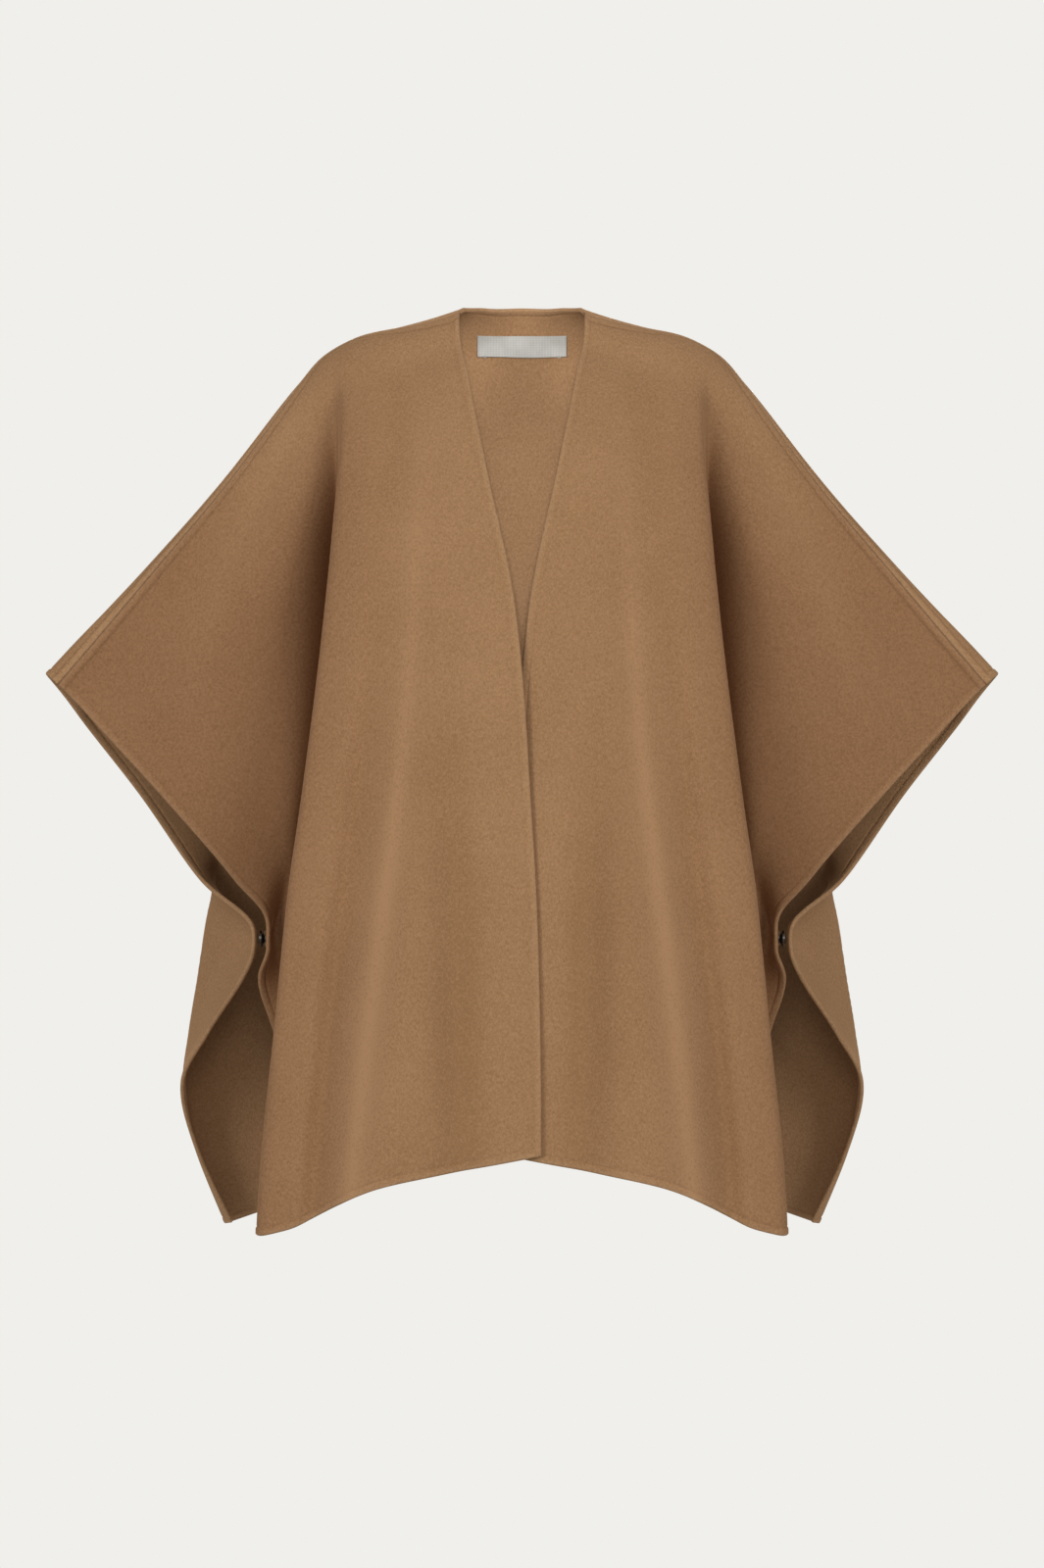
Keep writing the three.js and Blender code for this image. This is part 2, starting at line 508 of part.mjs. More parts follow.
// The back panel, one piece from side edge to side edge. Its first columns reach to the label's end,
// and the others meet those of the fronts at the overarm seams.
const labelEnd = whereReached((t) => backForm(t, labelRows[1])[0], 0, BLADE_RAIL, LABEL.width / 2);
const backColumns = [];
for (let k = 0; k <= LABEL_COLUMNS; k += 1) backColumns.push((k / LABEL_COLUMNS) * labelEnd);
for (const t of frontColumns) backColumns.push(backRailAt(along(FRONT_TOPS.map((q) => [q]), t)[0]));
const backHalf = halfPanel(backForm, backColumns, 1, { first: false, last: true, bottom: true });
const backGrid = backHalf.map((line) => [...line.slice(1).reverse().map(mirrorCell), ...line]);
place("back", wallGeometry(backGrid, true), LOOKS.wool);

// The bare label, sewn inside the back neck: cells of the back's own grid, moved in.
const labelHalf = labelRows.map((share) => {
  const cells = backHalf[rowShares.indexOf(share)].slice(0, LABEL_COLUMNS + 1);
  return cells.map(({ outer, inner }) => {
    const inward = unit(add(inner, outer, -1));
    const near = add(inner, inward, LABEL.gap);
    return { outer: near, inner: add(near, inward, LABEL.thickness) };
  });
});
const labelFull = labelHalf.map((line) => [...line.slice(1).reverse().map(mirrorCell), ...line]);
place("label", wallGeometry(labelFull, true), LOOKS.label);

// The snaps: a socket sewn inside the back's side edge and a stud inside the front's, pressed together.
const snapSeat = (form, lastRail, facing) => {
  const edge = form(lastRail, SNAP.share);
  const fromEdge = (t) => distance(form(t, SNAP.share), edge);
  const t = whereReached((rail) => -fromEdge(rail), lastRail - 1, lastRail, -SNAP.inset);
  return add(form(t, SNAP.share), normalOf(form, t, SNAP.share, lastRail, facing), -WALL / 2 - SNAP.seat);
};
const onFront = snapSeat(frontForm, frontColumns.at(-1), -1);
const onBack = snapSeat(backForm, backColumns.at(-1), 1);
const snapDepth = distance(onFront, onBack);
const snapAxis = unit(add(onBack, onFront, -1));

// A disc turned about Y, from profile points [radius, height]: the stud has a post, the socket a well.
function discGeometry(profile) {
  const points = profile.map(([radius, height]) => new THREE.Vector2(radius, height));
  return new THREE.LatheGeometry(points, SNAP_SIDES);
}
const rim = SNAP.radius - SNAP.bevel;
const studTop = SNAP.disc + SNAP.postShare * (snapDepth - SNAP.disc);
const studProfile = [[0, 0], [rim, 0], [SNAP.radius, SNAP.bevel], [SNAP.radius, SNAP.disc],
  [SNAP.post, SNAP.disc], [SNAP.post, studTop], [0, studTop]];
const well = SNAP.post + SNAP.clearance;
const wellFloor = studTop + SNAP.clearance;
const socketNear = SNAP.disc + SNAP.clearance;
const socketProfile = [[0, wellFloor], [well, wellFloor], [well, socketNear], [SNAP.radius, socketNear],
  [SNAP.radius, snapDepth - SNAP.bevel], [rim, snapDepth], [0, snapDepth]];
for (const [side, sign] of [["left", 1], ["right", -1]]) {
  const centre = new THREE.Vector3(sign * onFront[0], onFront[1], onFront[2]);
  const axis = new THREE.Vector3(sign * snapAxis[0], snapAxis[1], snapAxis[2]);
  const turn = new THREE.Quaternion().setFromUnitVectors(new THREE.Vector3(0, 1, 0), axis);
  for (const [piece, profile] of [["snap_stud", studProfile], ["snap_socket", socketProfile]]) {
    const mesh = place(`${piece}_${side}`, discGeometry(profile), LOOKS.snap);
    mesh.position.copy(centre);
    mesh.quaternion.copy(turn);
  }
}

export default cape;
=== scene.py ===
"""An open-front wool cape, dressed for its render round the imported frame.

Every cloth piece is a closed thin shell worked out on a grid. A panel's middle surface is a function of
two numbers: the rail number, counted across the panel, and the share of the drop, from the overarm seam
or neck at 0 to the hem at 1. Its two faces stand off that surface by half the cloth's thickness, which
swells along the turned edges and dips at the line where they are sewn down. Lengths are in millimetres
until they go into a mesh, which is in metres.
"""

import bmesh
import bpy
import numpy as np
from bpy.props import FloatProperty, FloatVectorProperty, PointerProperty
from bpy.types import Operator, Panel, PropertyGroup
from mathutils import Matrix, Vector


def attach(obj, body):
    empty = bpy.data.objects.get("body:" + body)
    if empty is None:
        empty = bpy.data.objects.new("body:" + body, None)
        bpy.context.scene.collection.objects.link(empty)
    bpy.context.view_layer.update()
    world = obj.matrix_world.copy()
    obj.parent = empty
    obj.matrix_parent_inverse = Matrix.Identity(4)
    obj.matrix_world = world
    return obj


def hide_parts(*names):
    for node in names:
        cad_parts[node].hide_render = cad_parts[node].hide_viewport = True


bl_info = {
    "name": "Wool cape",
    "version": (1, 0, 0),
    "blender": (4, 5, 0),
    "location": "3D View > Sidebar > Cape",
    "description": "Builds an open-front wool cape from its sections and folds",
    "category": "Add Mesh",
}

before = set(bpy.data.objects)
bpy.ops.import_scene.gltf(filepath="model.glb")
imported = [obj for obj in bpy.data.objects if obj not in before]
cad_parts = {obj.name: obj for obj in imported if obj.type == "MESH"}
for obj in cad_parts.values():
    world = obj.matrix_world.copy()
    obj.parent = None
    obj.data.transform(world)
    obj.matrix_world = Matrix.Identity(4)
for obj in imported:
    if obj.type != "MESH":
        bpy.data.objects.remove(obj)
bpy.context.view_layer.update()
BODY = "root"
MM = 0.001

# Lengths of the cut panels, and how the panels meet
FRONT_EDGE_LENGTH = 845
FRONT_SIDE_LENGTH = 615
BACK_CENTRE_LENGTH = 850
BACK_SIDE_LENGTH = 675
SEAM_GAP = 0.3
SEAM_TUCK = 0.75  # each panel's rim reaches this much further into the overarm seam
SEAM_TUCK_REACH = 20
LAP_DEPTH = 10
LAP_SHARE = {"from": 0.28, "to": 0.41, "across": 2}
HEM_SAG = 10
HEM_SAG_FROM = 0.7
ROLL_SHARE = 0.12
ROLL_KEPT = {"front": 0.1, "back": 0.4}

# What the snap does to the side edges
SNAP_SHARE = 0.52
SNAP_REACH = 0.06
SNAP_HOLLOW = 10
SNAP_INSET = 11
SNAP_SEAT = 1.3
FLANGE = 24
LEAST_FLANGE = 6
PINCH = {"front": 243, "back": 257, "depth": -56, "front_lean": 0.04, "back_lean": -0.22}

# How the cloth rounds between the points of its sections
TOP_FOLD = 30
BOW = {"chest": 0.04, "rib": 0.03}
FOLD_SHARE = 0.33  # a bend takes no more than this of the stretch from crest to valley
VALLEY_RADIUS = {"front": 1.5, "back": 1.3}
RISE_SHARE = 0.3
ROLL_BEND = 30
FLANGE_SHARE = {"front": 0.3, "back": 0.4}
WRAP_SHARE = 0.6
SLEEVE_OUT_SHARE = 0.75

# The shoulder and arm line, from the middle of the neck to the tip of the sleeve: where the cloth rolls
# over, the radius of the roll, and the angle on it of the neck edge or overarm seam, in degrees.
RIDGE = (
    {"point": (0, 16, 24), "radius": 42, "cut": 50},
    {"point": (34, 12, 13.8), "radius": 42, "cut": 32},
    {"point": (54, 8, 4.6), "radius": 36, "cut": 0},
    {"point": (60.5, 8, 4), "radius": 32, "cut": -34},
    {"point": (84, 7, -3.5), "radius": 34, "cut": -36},
    {"point": (118, 6, -13.5), "radius": 38, "cut": -26},
    {"point": (162, 5, -25.5), "radius": 42, "cut": -10},
    {"point": (190, 3, -41.5), "radius": 42, "cut": -12},
    {"point": (215, 1, -68), "radius": 40, "cut": -26},
    {"point": (292, -3, -164), "radius": 32, "cut": -44},
    {"point": (366, -6, -246), "radius": 25, "cut": -61},
    {"point": (460, -8, -349), "radius": 18, "cut": -87},
)
NECK_CORNER = 3
NECK_LEAN = 0.04

FRONT_SECTIONS = (
    {"share": 0.12, "edge": (50, -62, -72), "bust": (112, -72, -92), "crest": (170, -72, -102),
     "valley": (176, -66, -128), "side": (389, -40, -421), "fold": 26},
    {"share": 0.25, "edge": (33, -110, -158), "bust": (113, -128, -190), "crest": (178, -112, -212),
     "valley": (176, -84, -250), "side": (336, -54, -478), "fold": 20},
    {"share": 0.4, "edge": (7, -143, -283), "bust": (119, -163, -322), "crest": (192, -145, -345),
     "valley": (187, -80, -428), "side": (275, -60, -549), "fold": 17},
    {"share": 0.51, "edge": (-3, -153, -385), "bust": (125, -171, -425), "crest": (205, -157, -468),
     "valley": (211, -42, -572), "side": (242, -56, -600), "fold": 16},
    {"share": 0.6, "edge": (-8, -159, -465), "bust": (132, -176, -506), "crest": (217, -161, -548),
     "valley": (221, -22, -638), "side": (255, -40, -640), "fold": 18},
    {"share": 0.7, "edge": (-13, -164, -548), "bust": (139, -179, -590), "crest": (229, -164, -635),
     "valley": (212, -30, -696), "side": (239, -12, -700), "fold": 20},
    {"share": 0.85, "edge": (-17, -170, -677), "bust": (149, -182, -715), "crest": (242, -167, -762),
     "valley": (216, -36, -788), "side": (225, 18, -785), "fold": 24},
    {"share": 1, "edge": (-18, -176, -803), "bust": (156, -184, -835), "crest": (250, -170, -880),
     "valley": (214, -30, -878), "side": (202, 62, -872), "fold": 26},
)
BACK_SECTIONS = (
    {"share": 0.12, "middle": (0, 70, -88), "blade": (105, 72, -113), "crest": (160, 58, -128),
     "valley": (172, 52, -150), "roll": (300, 42, -330), "side": (428, 12, -394), "fold": 34},
    {"share": 0.25, "middle": (0, 102, -193), "blade": (105, 106, -218), "crest": (170, 88, -238),
     "valley": (176, 70, -270), "roll": (308, 50, -440), "side": (375, 30, -464), "fold": 34},
    {"share": 0.4, "middle": (0, 128, -318), "blade": (105, 132, -343), "crest": (184, 117, -365),
     "valley": (182, 84, -400), "roll": (302, 62, -535), "side": (314, 22, -549), "fold": 34},
    {"share": 0.51, "middle": (0, 143, -410), "blade": (108, 147, -438), "crest": (194, 134, -465),
     "valley": (190, 92, -500), "roll": (315, 68, -592), "side": (262, -56, -600), "fold": 34},
    {"share": 0.6, "middle": (0, 152, -485), "blade": (110, 156, -515), "crest": (202, 144, -548),
     "valley": (197, 98, -580), "roll": (322, 70, -646), "side": (269, -42, -641), "fold": 34},
    {"share": 0.7, "middle": (0, 160, -568), "blade": (114, 165, -598), "crest": (210, 154, -632),
     "valley": (206, 98, -660), "roll": (328, 72, -700), "side": (304, -14, -697), "fold": 34},
    {"share": 0.8, "middle": (0, 168, -652), "blade": (118, 173, -683), "crest": (217, 162, -716),
     "valley": (212, 102, -738), "roll": (332, 80, -754), "side": (330, 14, -746), "fold": 34},
    {"share": 0.9, "middle": (0, 175, -738), "blade": (122, 180, -768), "crest": (223, 169, -798),
     "valley": (218, 108, -812), "roll": (323, 94, -816), "side": (319, 44, -810), "fold": 34},
    {"share": 1, "middle": (0, 182, -824), "blade": (126, 186, -848), "crest": (229, 176, -866),
     "valley": (222, 116, -868), "roll": (295, 116, -893), "side": (286, 75, -888), "fold": 34},
)

# Soft folds, each a long bump that stands proud of its panel, or sinks where proud is minus. The rail
# numbers count from the front edge or the middle of the back; start and end are shares of the drop.
FRONT_FOLDS = (
    {"name": "hollow under the shoulder", "rail": 2.3, "drift": 0.1, "width": 0.55, "proud": -4,
     "start": 0.02, "end": 0.3},
    {"name": "inner ridge", "rail": 1.55, "drift": 0.95, "width": 0.3, "proud": 14,
     "start": 0.12, "end": 1.5},
    {"name": "inner trough", "rail": 1.15, "drift": -0.4, "width": 0.27, "proud": -11,
     "start": 0.36, "end": 1.3},
    {"name": "outer trough", "rail": 2.5, "drift": 0.6, "width": 0.33, "proud": -9,
     "start": 0.22, "end": 1.4},
)
DEEP_VALLEY = {"name": "deep valley", "rail": 7.9, "drift": 0.7, "width": 1.0, "proud": -58,
               "start": 0.05, "end": 0.52}
BACK_FOLDS = (
    {"name": "middle ridge", "rail": 0, "drift": 0, "width": 0.8, "proud": 12,
     "start": 0.25, "end": 1.6},
    {"name": "inner trough", "rail": 1.6, "drift": 0.15, "width": 0.6, "proud": -20,
     "start": 0.18, "end": 1.6},
    {"name": "blade ridge", "rail": 2.9, "drift": 0.2, "width": 0.55, "proud": 12,
     "start": 0.12, "end": 1.5},
    {"name": "outer trough", "rail": 4.1, "drift": 0.1, "width": 0.5, "proud": -16,
     "start": 0.22, "end": 1.6},
)

FOLD_POWER = 1.5  # above 1, so that a fold starts and ends without a crease
CORNER = {"rail": 5.6, "width": 0.6, "from": 0.98}  # where the front hem rounds up at the fold

# Long low waves that keep the cloth from lying dead flat: their lengths across and down, in millimetres
WAVES = (
    {"across": 190, "down": 520, "height": 0.7, "phase": 0.4},
    {"across": 310, "down": -380, "height": 0.6, "phase": 2.1},
    {"across": 95, "down": 900, "height": 0.25, "phase": 1.3},
    {"across": -230, "down": 240, "height": 0.3, "phase": 4.0},
)

# Where the grid's first lines lie inside an edge: close by the rounded rim and the sewn line
EDGE_LINES = (0, 0.2, 0.6, 1.2, 1.9, 2.8, 4.0, 5.3, 6.5, 7.3, 7.9, 8.5, 9.3, 10.6, 12.4)
FRONT_GRID = {"rows": 256, "columns": 176}
BACK_GRID = {"rows": 196, "columns": 124}
SAMPLES_PER_RAIL = 36  # for measuring along a row
QUIET = {"top": 60, "side": 40}  # the waves grow over these lengths from the seam and the side edge

QUARTER_TURN = np.pi / 2
STEP = 1e-3  # of the measure along the shoulder roll, for its slope
TINY = 1e-9
END_LEAN = 1.5  # how far the slope at an end goes from its neighbour's to its own rise, and beyond


def unit(vectors):
    """Each vector over its own length."""
    return vectors / np.maximum(np.linalg.norm(vectors, axis=-1, keepdims=True), TINY)


def ease(x):
    """0 below 0, 1 above 1, and three x squared less two x cubed between them."""
    held = np.clip(x, 0, 1)
    return held**2 * (3 - 2 * held)


def bump(x):
    """A bell: e to minus x squared."""
    return np.exp(-(x**2))


def lerp(a, b, k):
    """What lies a share k of the way from a to b."""
    return a + k * (b - a)


def smooth_curve(knots, rows):
    """A function that passes through the rows at the knots.

    Each span is the cubic that meets its two rows with their slopes. A row's slope is the mean of the
    rises to its neighbours, each weighted by the other's distance, and an end's slope goes beyond its one
    rise, away from the next slope.
    """
    knots = np.asarray(knots, float)
    rows = np.asarray(rows, float)
    gaps = np.diff(knots)
    rises = np.diff(rows, axis=0) / gaps[:, None]
    slopes = np.empty_like(rows)
    weighted = rises[:-1] * gaps[1:, None] + rises[1:] * gaps[:-1, None]
    slopes[1:-1] = weighted / (gaps[:-1] + gaps[1:])[:, None]
    slopes[0] = lerp(slopes[1], rises[0], END_LEAN)
    slopes[-1] = lerp(slopes[-2], rises[-1], END_LEAN)

    def at(x):
        x = np.asarray(x, float)
        span = np.clip(np.searchsorted(knots, x, side="right") - 1, 0, len(gaps) - 1)
        gap = gaps[span][..., None]
        t = (x - knots[span])[..., None] / gap
        return (
            (2 * t**3 - 3 * t**2 + 1) * rows[span]
            + (t**3 - 2 * t**2 + t) * gap * slopes[span]
            + (3 * t**2 - 2 * t**3) * rows[span + 1]
            + (t**3 - t**2) * gap * slopes[span + 1]
        )

    return at


def across_rails(rails, number, mirrored=False):
    """Points at rail numbers: a uniform cubic B-spline on each row of rails.

    rails has the shape (rows, rails, values) and number (rows, columns). The curve starts on the first
    rail and ends on the last one. A mirrored one is level where it crosses the middle.
    """
    if mirrored:
        before = rails[:, 1:2] * (-1, 1, 1)
    else:
        before = 2 * rails[:, :1] - rails[:, 1:2]
    after = 2 * rails[:, -1:] - rails[:, -2:-1]
    held = np.concatenate([before, rails, after], axis=1)
    whole = np.clip(np.floor(number).astype(int), 0, rails.shape[1] - 2)
    part = (number - whole)[..., None]
    row = np.arange(len(rails))[:, None]
    return (
        (1 - part) ** 3 * held[row, whole]
        + (3 * part**3 - 6 * part**2 + 4) * held[row, whole + 1]
        + (-3 * part**3 + 3 * part**2 + 3 * part + 1) * held[row, whole + 2]
        + part**3 * held[row, whole + 3]
    ) / 6


# The shoulder roll. The measure along it is 0 at the neck corner and 1 at the tip of the sleeve, and a
# mirrored row beyond the middle keeps the neck smooth there.
ridge_points = np.array([row["point"] for row in RIDGE], float)
ridge_sizes = np.array([(row["radius"], row["cut"]) for row in RIDGE], float)
ridge_points = np.vstack([ridge_points[1] * (-1, 1, 1), ridge_points])
ridge_sizes = np.vstack([ridge_sizes[1], ridge_sizes])
cut_angles = np.radians(ridge_sizes[:, 1])
cut_points = ridge_points + ridge_sizes[:, :1] * np.stack(
    [np.zeros_like(cut_angles), np.sin(cut_angles), np.cos(cut_angles) - 1], axis=-1
)
cut_lengths = np.r_[0, np.cumsum(np.linalg.norm(np.diff(cut_points, axis=0), axis=1))]
to_neck = cut_lengths[NECK_CORNER + 1]
ridge_measures = (cut_lengths - to_neck) / (cut_lengths[-1] - to_neck)
ridge_at = smooth_curve(ridge_measures, np.hstack([ridge_points, ridge_sizes]))
NECK_MIDDLE = ridge_measures[1]


def roll_point(measure, run, facing):
    """A point of the shoulder roll, run along the cloth from the cut, to the front (-1) or back (1).

    It goes round an arc of the roll's radius up to a quarter turn, and then hangs straight.
    """
    out, back, up, radius, cut = np.moveaxis(ridge_at(measure), -1, 0)
    before = ridge_at(measure - STEP)
    after = ridge_at(measure + STEP)
    upright = ease(measure / NECK_LEAN)
    lean = upright * (before[..., 2] - after[..., 2])
    level = after[..., 0] - before[..., 0]
    normal = unit(np.stack([lean, np.zeros_like(lean), level], axis=-1))
    angle = np.radians(cut) + facing * run / radius
    turned = np.clip(angle, -QUARTER_TURN, QUARTER_TURN)
    sunk = radius * (1 - np.cos(turned)) + np.abs(angle - turned) * radius
    return np.stack([out, back + radius * np.sin(turned), up], axis=-1) - normal * sunk[..., None]


def rails_of(sections, seam, facing):
    """Smooth rails through the named points of the sections, led up to their places on the seam."""
    knots = [0] + [section["share"] for section in sections]
    rails = {}
    for name, measure in seam.items():
        top = roll_point(np.array(measure, float), np.array(SEAM_GAP / 2), facing)
        rails[name] = smooth_curve(knots, [top] + [section[name] for section in sections])
    rails["fold"] = smooth_curve(knots, [[TOP_FOLD]] + [[section["fold"]] for section in sections])
    return rails


FRONT_SEAM = {"edge": 0, "bust": 0.113, "crest": 0.212, "valley": 0.262, "side": 1}
BACK_SEAM = {"middle": NECK_MIDDLE, "blade": 0.1, "crest": 0.2, "valley": 0.255, "roll": 0.7, "side": 1}
front_rails = rails_of(FRONT_SECTIONS, FRONT_SEAM, -1)
back_rails = rails_of(BACK_SECTIONS, BACK_SEAM, 1)


def far(a, b):
    """Distances of points, kept as a column that scales them."""
    return np.linalg.norm(b - a, axis=-1, keepdims=True)


def near_snap(share):
    """1 at the snap's share of the drop, falling off as a bell above and below it."""
    return bump((share - SNAP_SHARE) / SNAP_REACH)[:, None]


def pinched(edge, out, share):
    """A side edge drawn towards the place where the snap holds it."""
    held = np.stack([np.full(len(edge), out), np.full(len(edge), PINCH["depth"]), edge[:, 2]], axis=-1)
    return lerp(edge, held, near_snap(share))


def across_front(share):
    """The rails across a front panel at each share, from the front edge to the side edge."""
    edge, bust, crest, valley, free = (
        front_rails[name](share) for name in ("edge", "bust", "crest", "valley", "side")
    )
    side = pinched(free, PINCH["front"], share)
    radius = front_rails["fold"](share)
    chest = lerp(edge, bust, 0.5) + BOW["chest"] * far(edge, bust) * (0, -1, 0)
    sag = HEM_SAG * ease((share - HEM_SAG_FROM) / (1 - HEM_SAG_FROM))[:, None]
    rib = lerp(bust, crest, 0.5) + BOW["rib"] * far(bust, crest) * (0, -1, 0) - sag * (0, 0, 1)
    most = FOLD_SHARE * far(valley, crest)
    valley_radius = VALLEY_RADIUS["front"] * radius
    turn_in = crest + unit(rib - crest) * radius
    turn_out = crest + unit(valley - crest) * np.minimum(radius, most)
    sink = valley + unit(crest - valley) * np.minimum(valley_radius, most)
    held = unit(lerp(unit(valley - side), np.array([PINCH["front_lean"], 1, 0]), near_snap(share)))
    room = FLANGE_SHARE["front"] * far(valley, side) + LEAST_FLANGE
    flange = side + held * np.minimum(FLANGE, room)
    rise = lerp(valley, flange, np.minimum(RISE_SHARE, valley_radius / far(valley, flange)))
    sleeve_in = lerp(valley, flange, 0.5)
    sleeve_out = lerp(valley, flange, SLEEVE_OUT_SHARE) + SNAP_HOLLOW * near_snap(share) * (0, 1, 0)
    rails = [edge, chest, bust, rib, turn_in, crest, turn_out, sink, valley, rise, sleeve_in,
             sleeve_out, flange, side]
    return np.stack(rails, axis=1)


def across_back(share):
    """The rails across half of the back panel at each share, from the middle to the side edge."""
    middle, blade, crest, valley, roll, free = (
        back_rails[name](share) for name in ("middle", "blade", "crest", "valley", "roll", "side")
    )
    side = pinched(free, PINCH["back"], share)
    radius = back_rails["fold"](share)
    rib = lerp(blade, crest, 0.5) + BOW["rib"] * far(blade, crest) * (0, 1, 0)
    most = FOLD_SHARE * far(valley, crest)
    valley_radius = VALLEY_RADIUS["back"] * radius
    turn_in = crest + unit(rib - crest) * radius
    turn_out = crest + unit(valley - crest) * np.minimum(radius, most)
    sink = valley + unit(crest - valley) * np.minimum(valley_radius, most)
    rise = lerp(valley, roll, np.minimum(RISE_SHARE, valley_radius / far(valley, roll)))
    sleeve = lerp(valley, roll, 0.5)
    roll_in = lerp(roll, sleeve, np.minimum(RISE_SHARE, ROLL_BEND / far(sleeve, roll)))
    held = unit(lerp(unit(roll - side), np.array([PINCH["back_lean"], 1, 0]), near_snap(share)))
    flange = side + held * np.minimum(FLANGE, FLANGE_SHARE["back"] * far(roll, side))
    roll_out = lerp(roll, flange, np.minimum(RISE_SHARE, ROLL_BEND / far(flange, roll)))
    wrap = lerp(roll, flange, WRAP_SHARE)
    rails = [middle, lerp(middle, blade, 1 / 3), lerp(middle, blade, 2 / 3), blade, rib, turn_in, crest,
             turn_out, sink, valley, rise, sleeve, roll_in, roll, roll_out, wrap, flange, side]
    return np.stack(rails, axis=1)


def fold_heights(folds, number, share):
    """How far the soft folds stand proud at each rail number and share.

    Each is its height times a bell across the rails times the sine of its own length to a power.
    """
    total = np.zeros_like(number)
    for fold in folds:
        length = np.clip((share - fold["start"]) / (fold["end"] - fold["start"]), 0, 1)
        across = (number - fold["rail"] - fold["drift"] * length) / fold["width"]
        total += fold["proud"] * np.sin(np.pi * length) ** FOLD_POWER * bump(across)
    return total


FRONT = {
    "rails": across_front,
    "tops": (0, 0.06, 0.113, 0.165, 0.195, 0.212, 0.228, 0.245, 0.262, 0.3, 0.5, 0.75, 0.955, 1),
    "facing": -1,
    "kept": ROLL_KEPT["front"],
    "folds": (*FRONT_FOLDS, DEEP_VALLEY),
    "soft_folds": FRONT_FOLDS,
    "lengths": (FRONT_EDGE_LENGTH, FRONT_SIDE_LENGTH),
    "mirrored": False,
    "lap": 0,
    "side_shade_on": 1,
    "corner_rise": 3,
}
UNDER_FRONT = {**FRONT, "lap": LAP_DEPTH}
BACK = {
    "rails": across_back,
    "tops": (NECK_MIDDLE, 0.45 * NECK_MIDDLE, 0, 0.1, 0.15, 0.18, 0.2, 0.22, 0.24, 0.26, 0.3, 0.45,
             0.6, 0.7, 0.78, 0.87, 0.955, 1),
    "facing": 1,
    "kept": ROLL_KEPT["back"],
    "folds": BACK_FOLDS,
    "soft_folds": BACK_FOLDS,
    "lengths": (BACK_CENTRE_LENGTH, BACK_SIDE_LENGTH),
    "mirrored": True,
    "lap": 0,
    "side_shade_on": 0,
    "corner_rise": 0,
}


def seam_measure(panel, number):
    """Where along the shoulder roll the lines with these rail numbers (rows, columns) start."""
    tops = np.array(panel["tops"], float)[None, :, None]
    return across_rails(np.repeat(tops, len(number), axis=0), number)[..., 0]


def middle_surface(panel, share, number):
    """Points of a panel's middle surface, for shares (rows) and rail numbers (rows, columns).

    Near the top it is the shoulder roll, carried over into the hanging rails by an eased blend whose
    shift grows as the square of the share. The folds move it forward or backward, and the lower front
    steps back by the lap's depth near its edge.
    """
    down = np.broadcast_to(share[:, None], number.shape)
    hung = across_rails(panel["rails"](share), number, panel["mirrored"])
    measure = seam_measure(panel, number)
    whole, side = panel["lengths"]
    drop = whole + np.clip(measure, 0, 1) * (side - whole)
    part = np.clip(down / ROLL_SHARE, 0, 1)
    landing_rails = np.repeat(panel["rails"](np.array([ROLL_SHARE])), len(share), axis=0)
    landing = across_rails(landing_rails, number, panel["mirrored"])
    miss = landing - roll_point(measure, ROLL_SHARE * drop, panel["facing"])
    tuck = (SEAM_GAP / 2 + SEAM_TUCK) * np.clip(1 - down * drop / SEAM_TUCK_REACH, 0, 1) ** 2
    run = SEAM_GAP / 2 + down * drop - tuck
    rolled = roll_point(measure, run, panel["facing"]) + miss * part[..., None] ** 2
    settled = ease((part - panel["kept"]) / (1 - panel["kept"]))[..., None]
    points = lerp(rolled, hung, settled)
    points[..., 1] += panel["facing"] * fold_heights(panel["folds"], number, down)
    under = ease((down - LAP_SHARE["from"]) / (LAP_SHARE["to"] - LAP_SHARE["from"]))
    points[..., 1] += panel["lap"] * under * (1 - ease(number / LAP_SHARE["across"]))
    near_hem = ease((down - CORNER["from"]) / (1 - CORNER["from"]))
    points[..., 2] += panel["corner_rise"] * near_hem * bump((number - CORNER["rail"]) / CORNER["width"])
    return points


def run_along(points, axis):
    """Lengths along the grid's lines from their start."""
    steps = np.linalg.norm(np.diff(points, axis=axis), axis=-1)
    start = np.zeros_like(np.take(steps, [0], axis=axis))
    return np.concatenate([start, np.cumsum(steps, axis=axis)], axis=axis)


def row_shares(rows):
    """Shares of the drop: evenly spaced, and closer by the top and the hem."""
    rim = np.array(EDGE_LINES) / FRONT_EDGE_LENGTH
    inside = np.linspace(rim[-1], 1 - rim[-1], rows - 2 * len(rim) + 2)
    return np.r_[rim[:-1], inside, 1 - rim[:-1][::-1]]


def rail_numbers(panel, share, columns):
    """Rail numbers (rows, columns) whose points are evenly spaced along each row, closer by an edge."""
    last = len(panel["tops"]) - 1
    fine = np.linspace(0, last, last * SAMPLES_PER_RAIL + 1)
    fine_rows = np.broadcast_to(fine, (len(share), len(fine)))
    lengths = run_along(middle_surface(panel, share, fine_rows), 1)
    rim = np.array(EDGE_LINES)
    numbers = []
    for length in lengths:
        first = [] if panel["mirrored"] else rim[:-1]
        start = 0 if panel["mirrored"] else rim[-1]
        inside = np.linspace(start, length[-1] - rim[-1], columns - len(first) - len(rim) + 1)
        wanted = np.r_[first, inside, length[-1] - rim[:-1][::-1]]
        numbers.append(np.interp(wanted, length, fine))
    return np.array(numbers)


def grid_normals(points, facing):
    """Outward normals of a grid of points: the step across crossed with the step down."""
    across = np.gradient(points, axis=1)
    down = np.gradient(points, axis=0)
    return facing * unit(np.cross(unit(across), unit(down)))


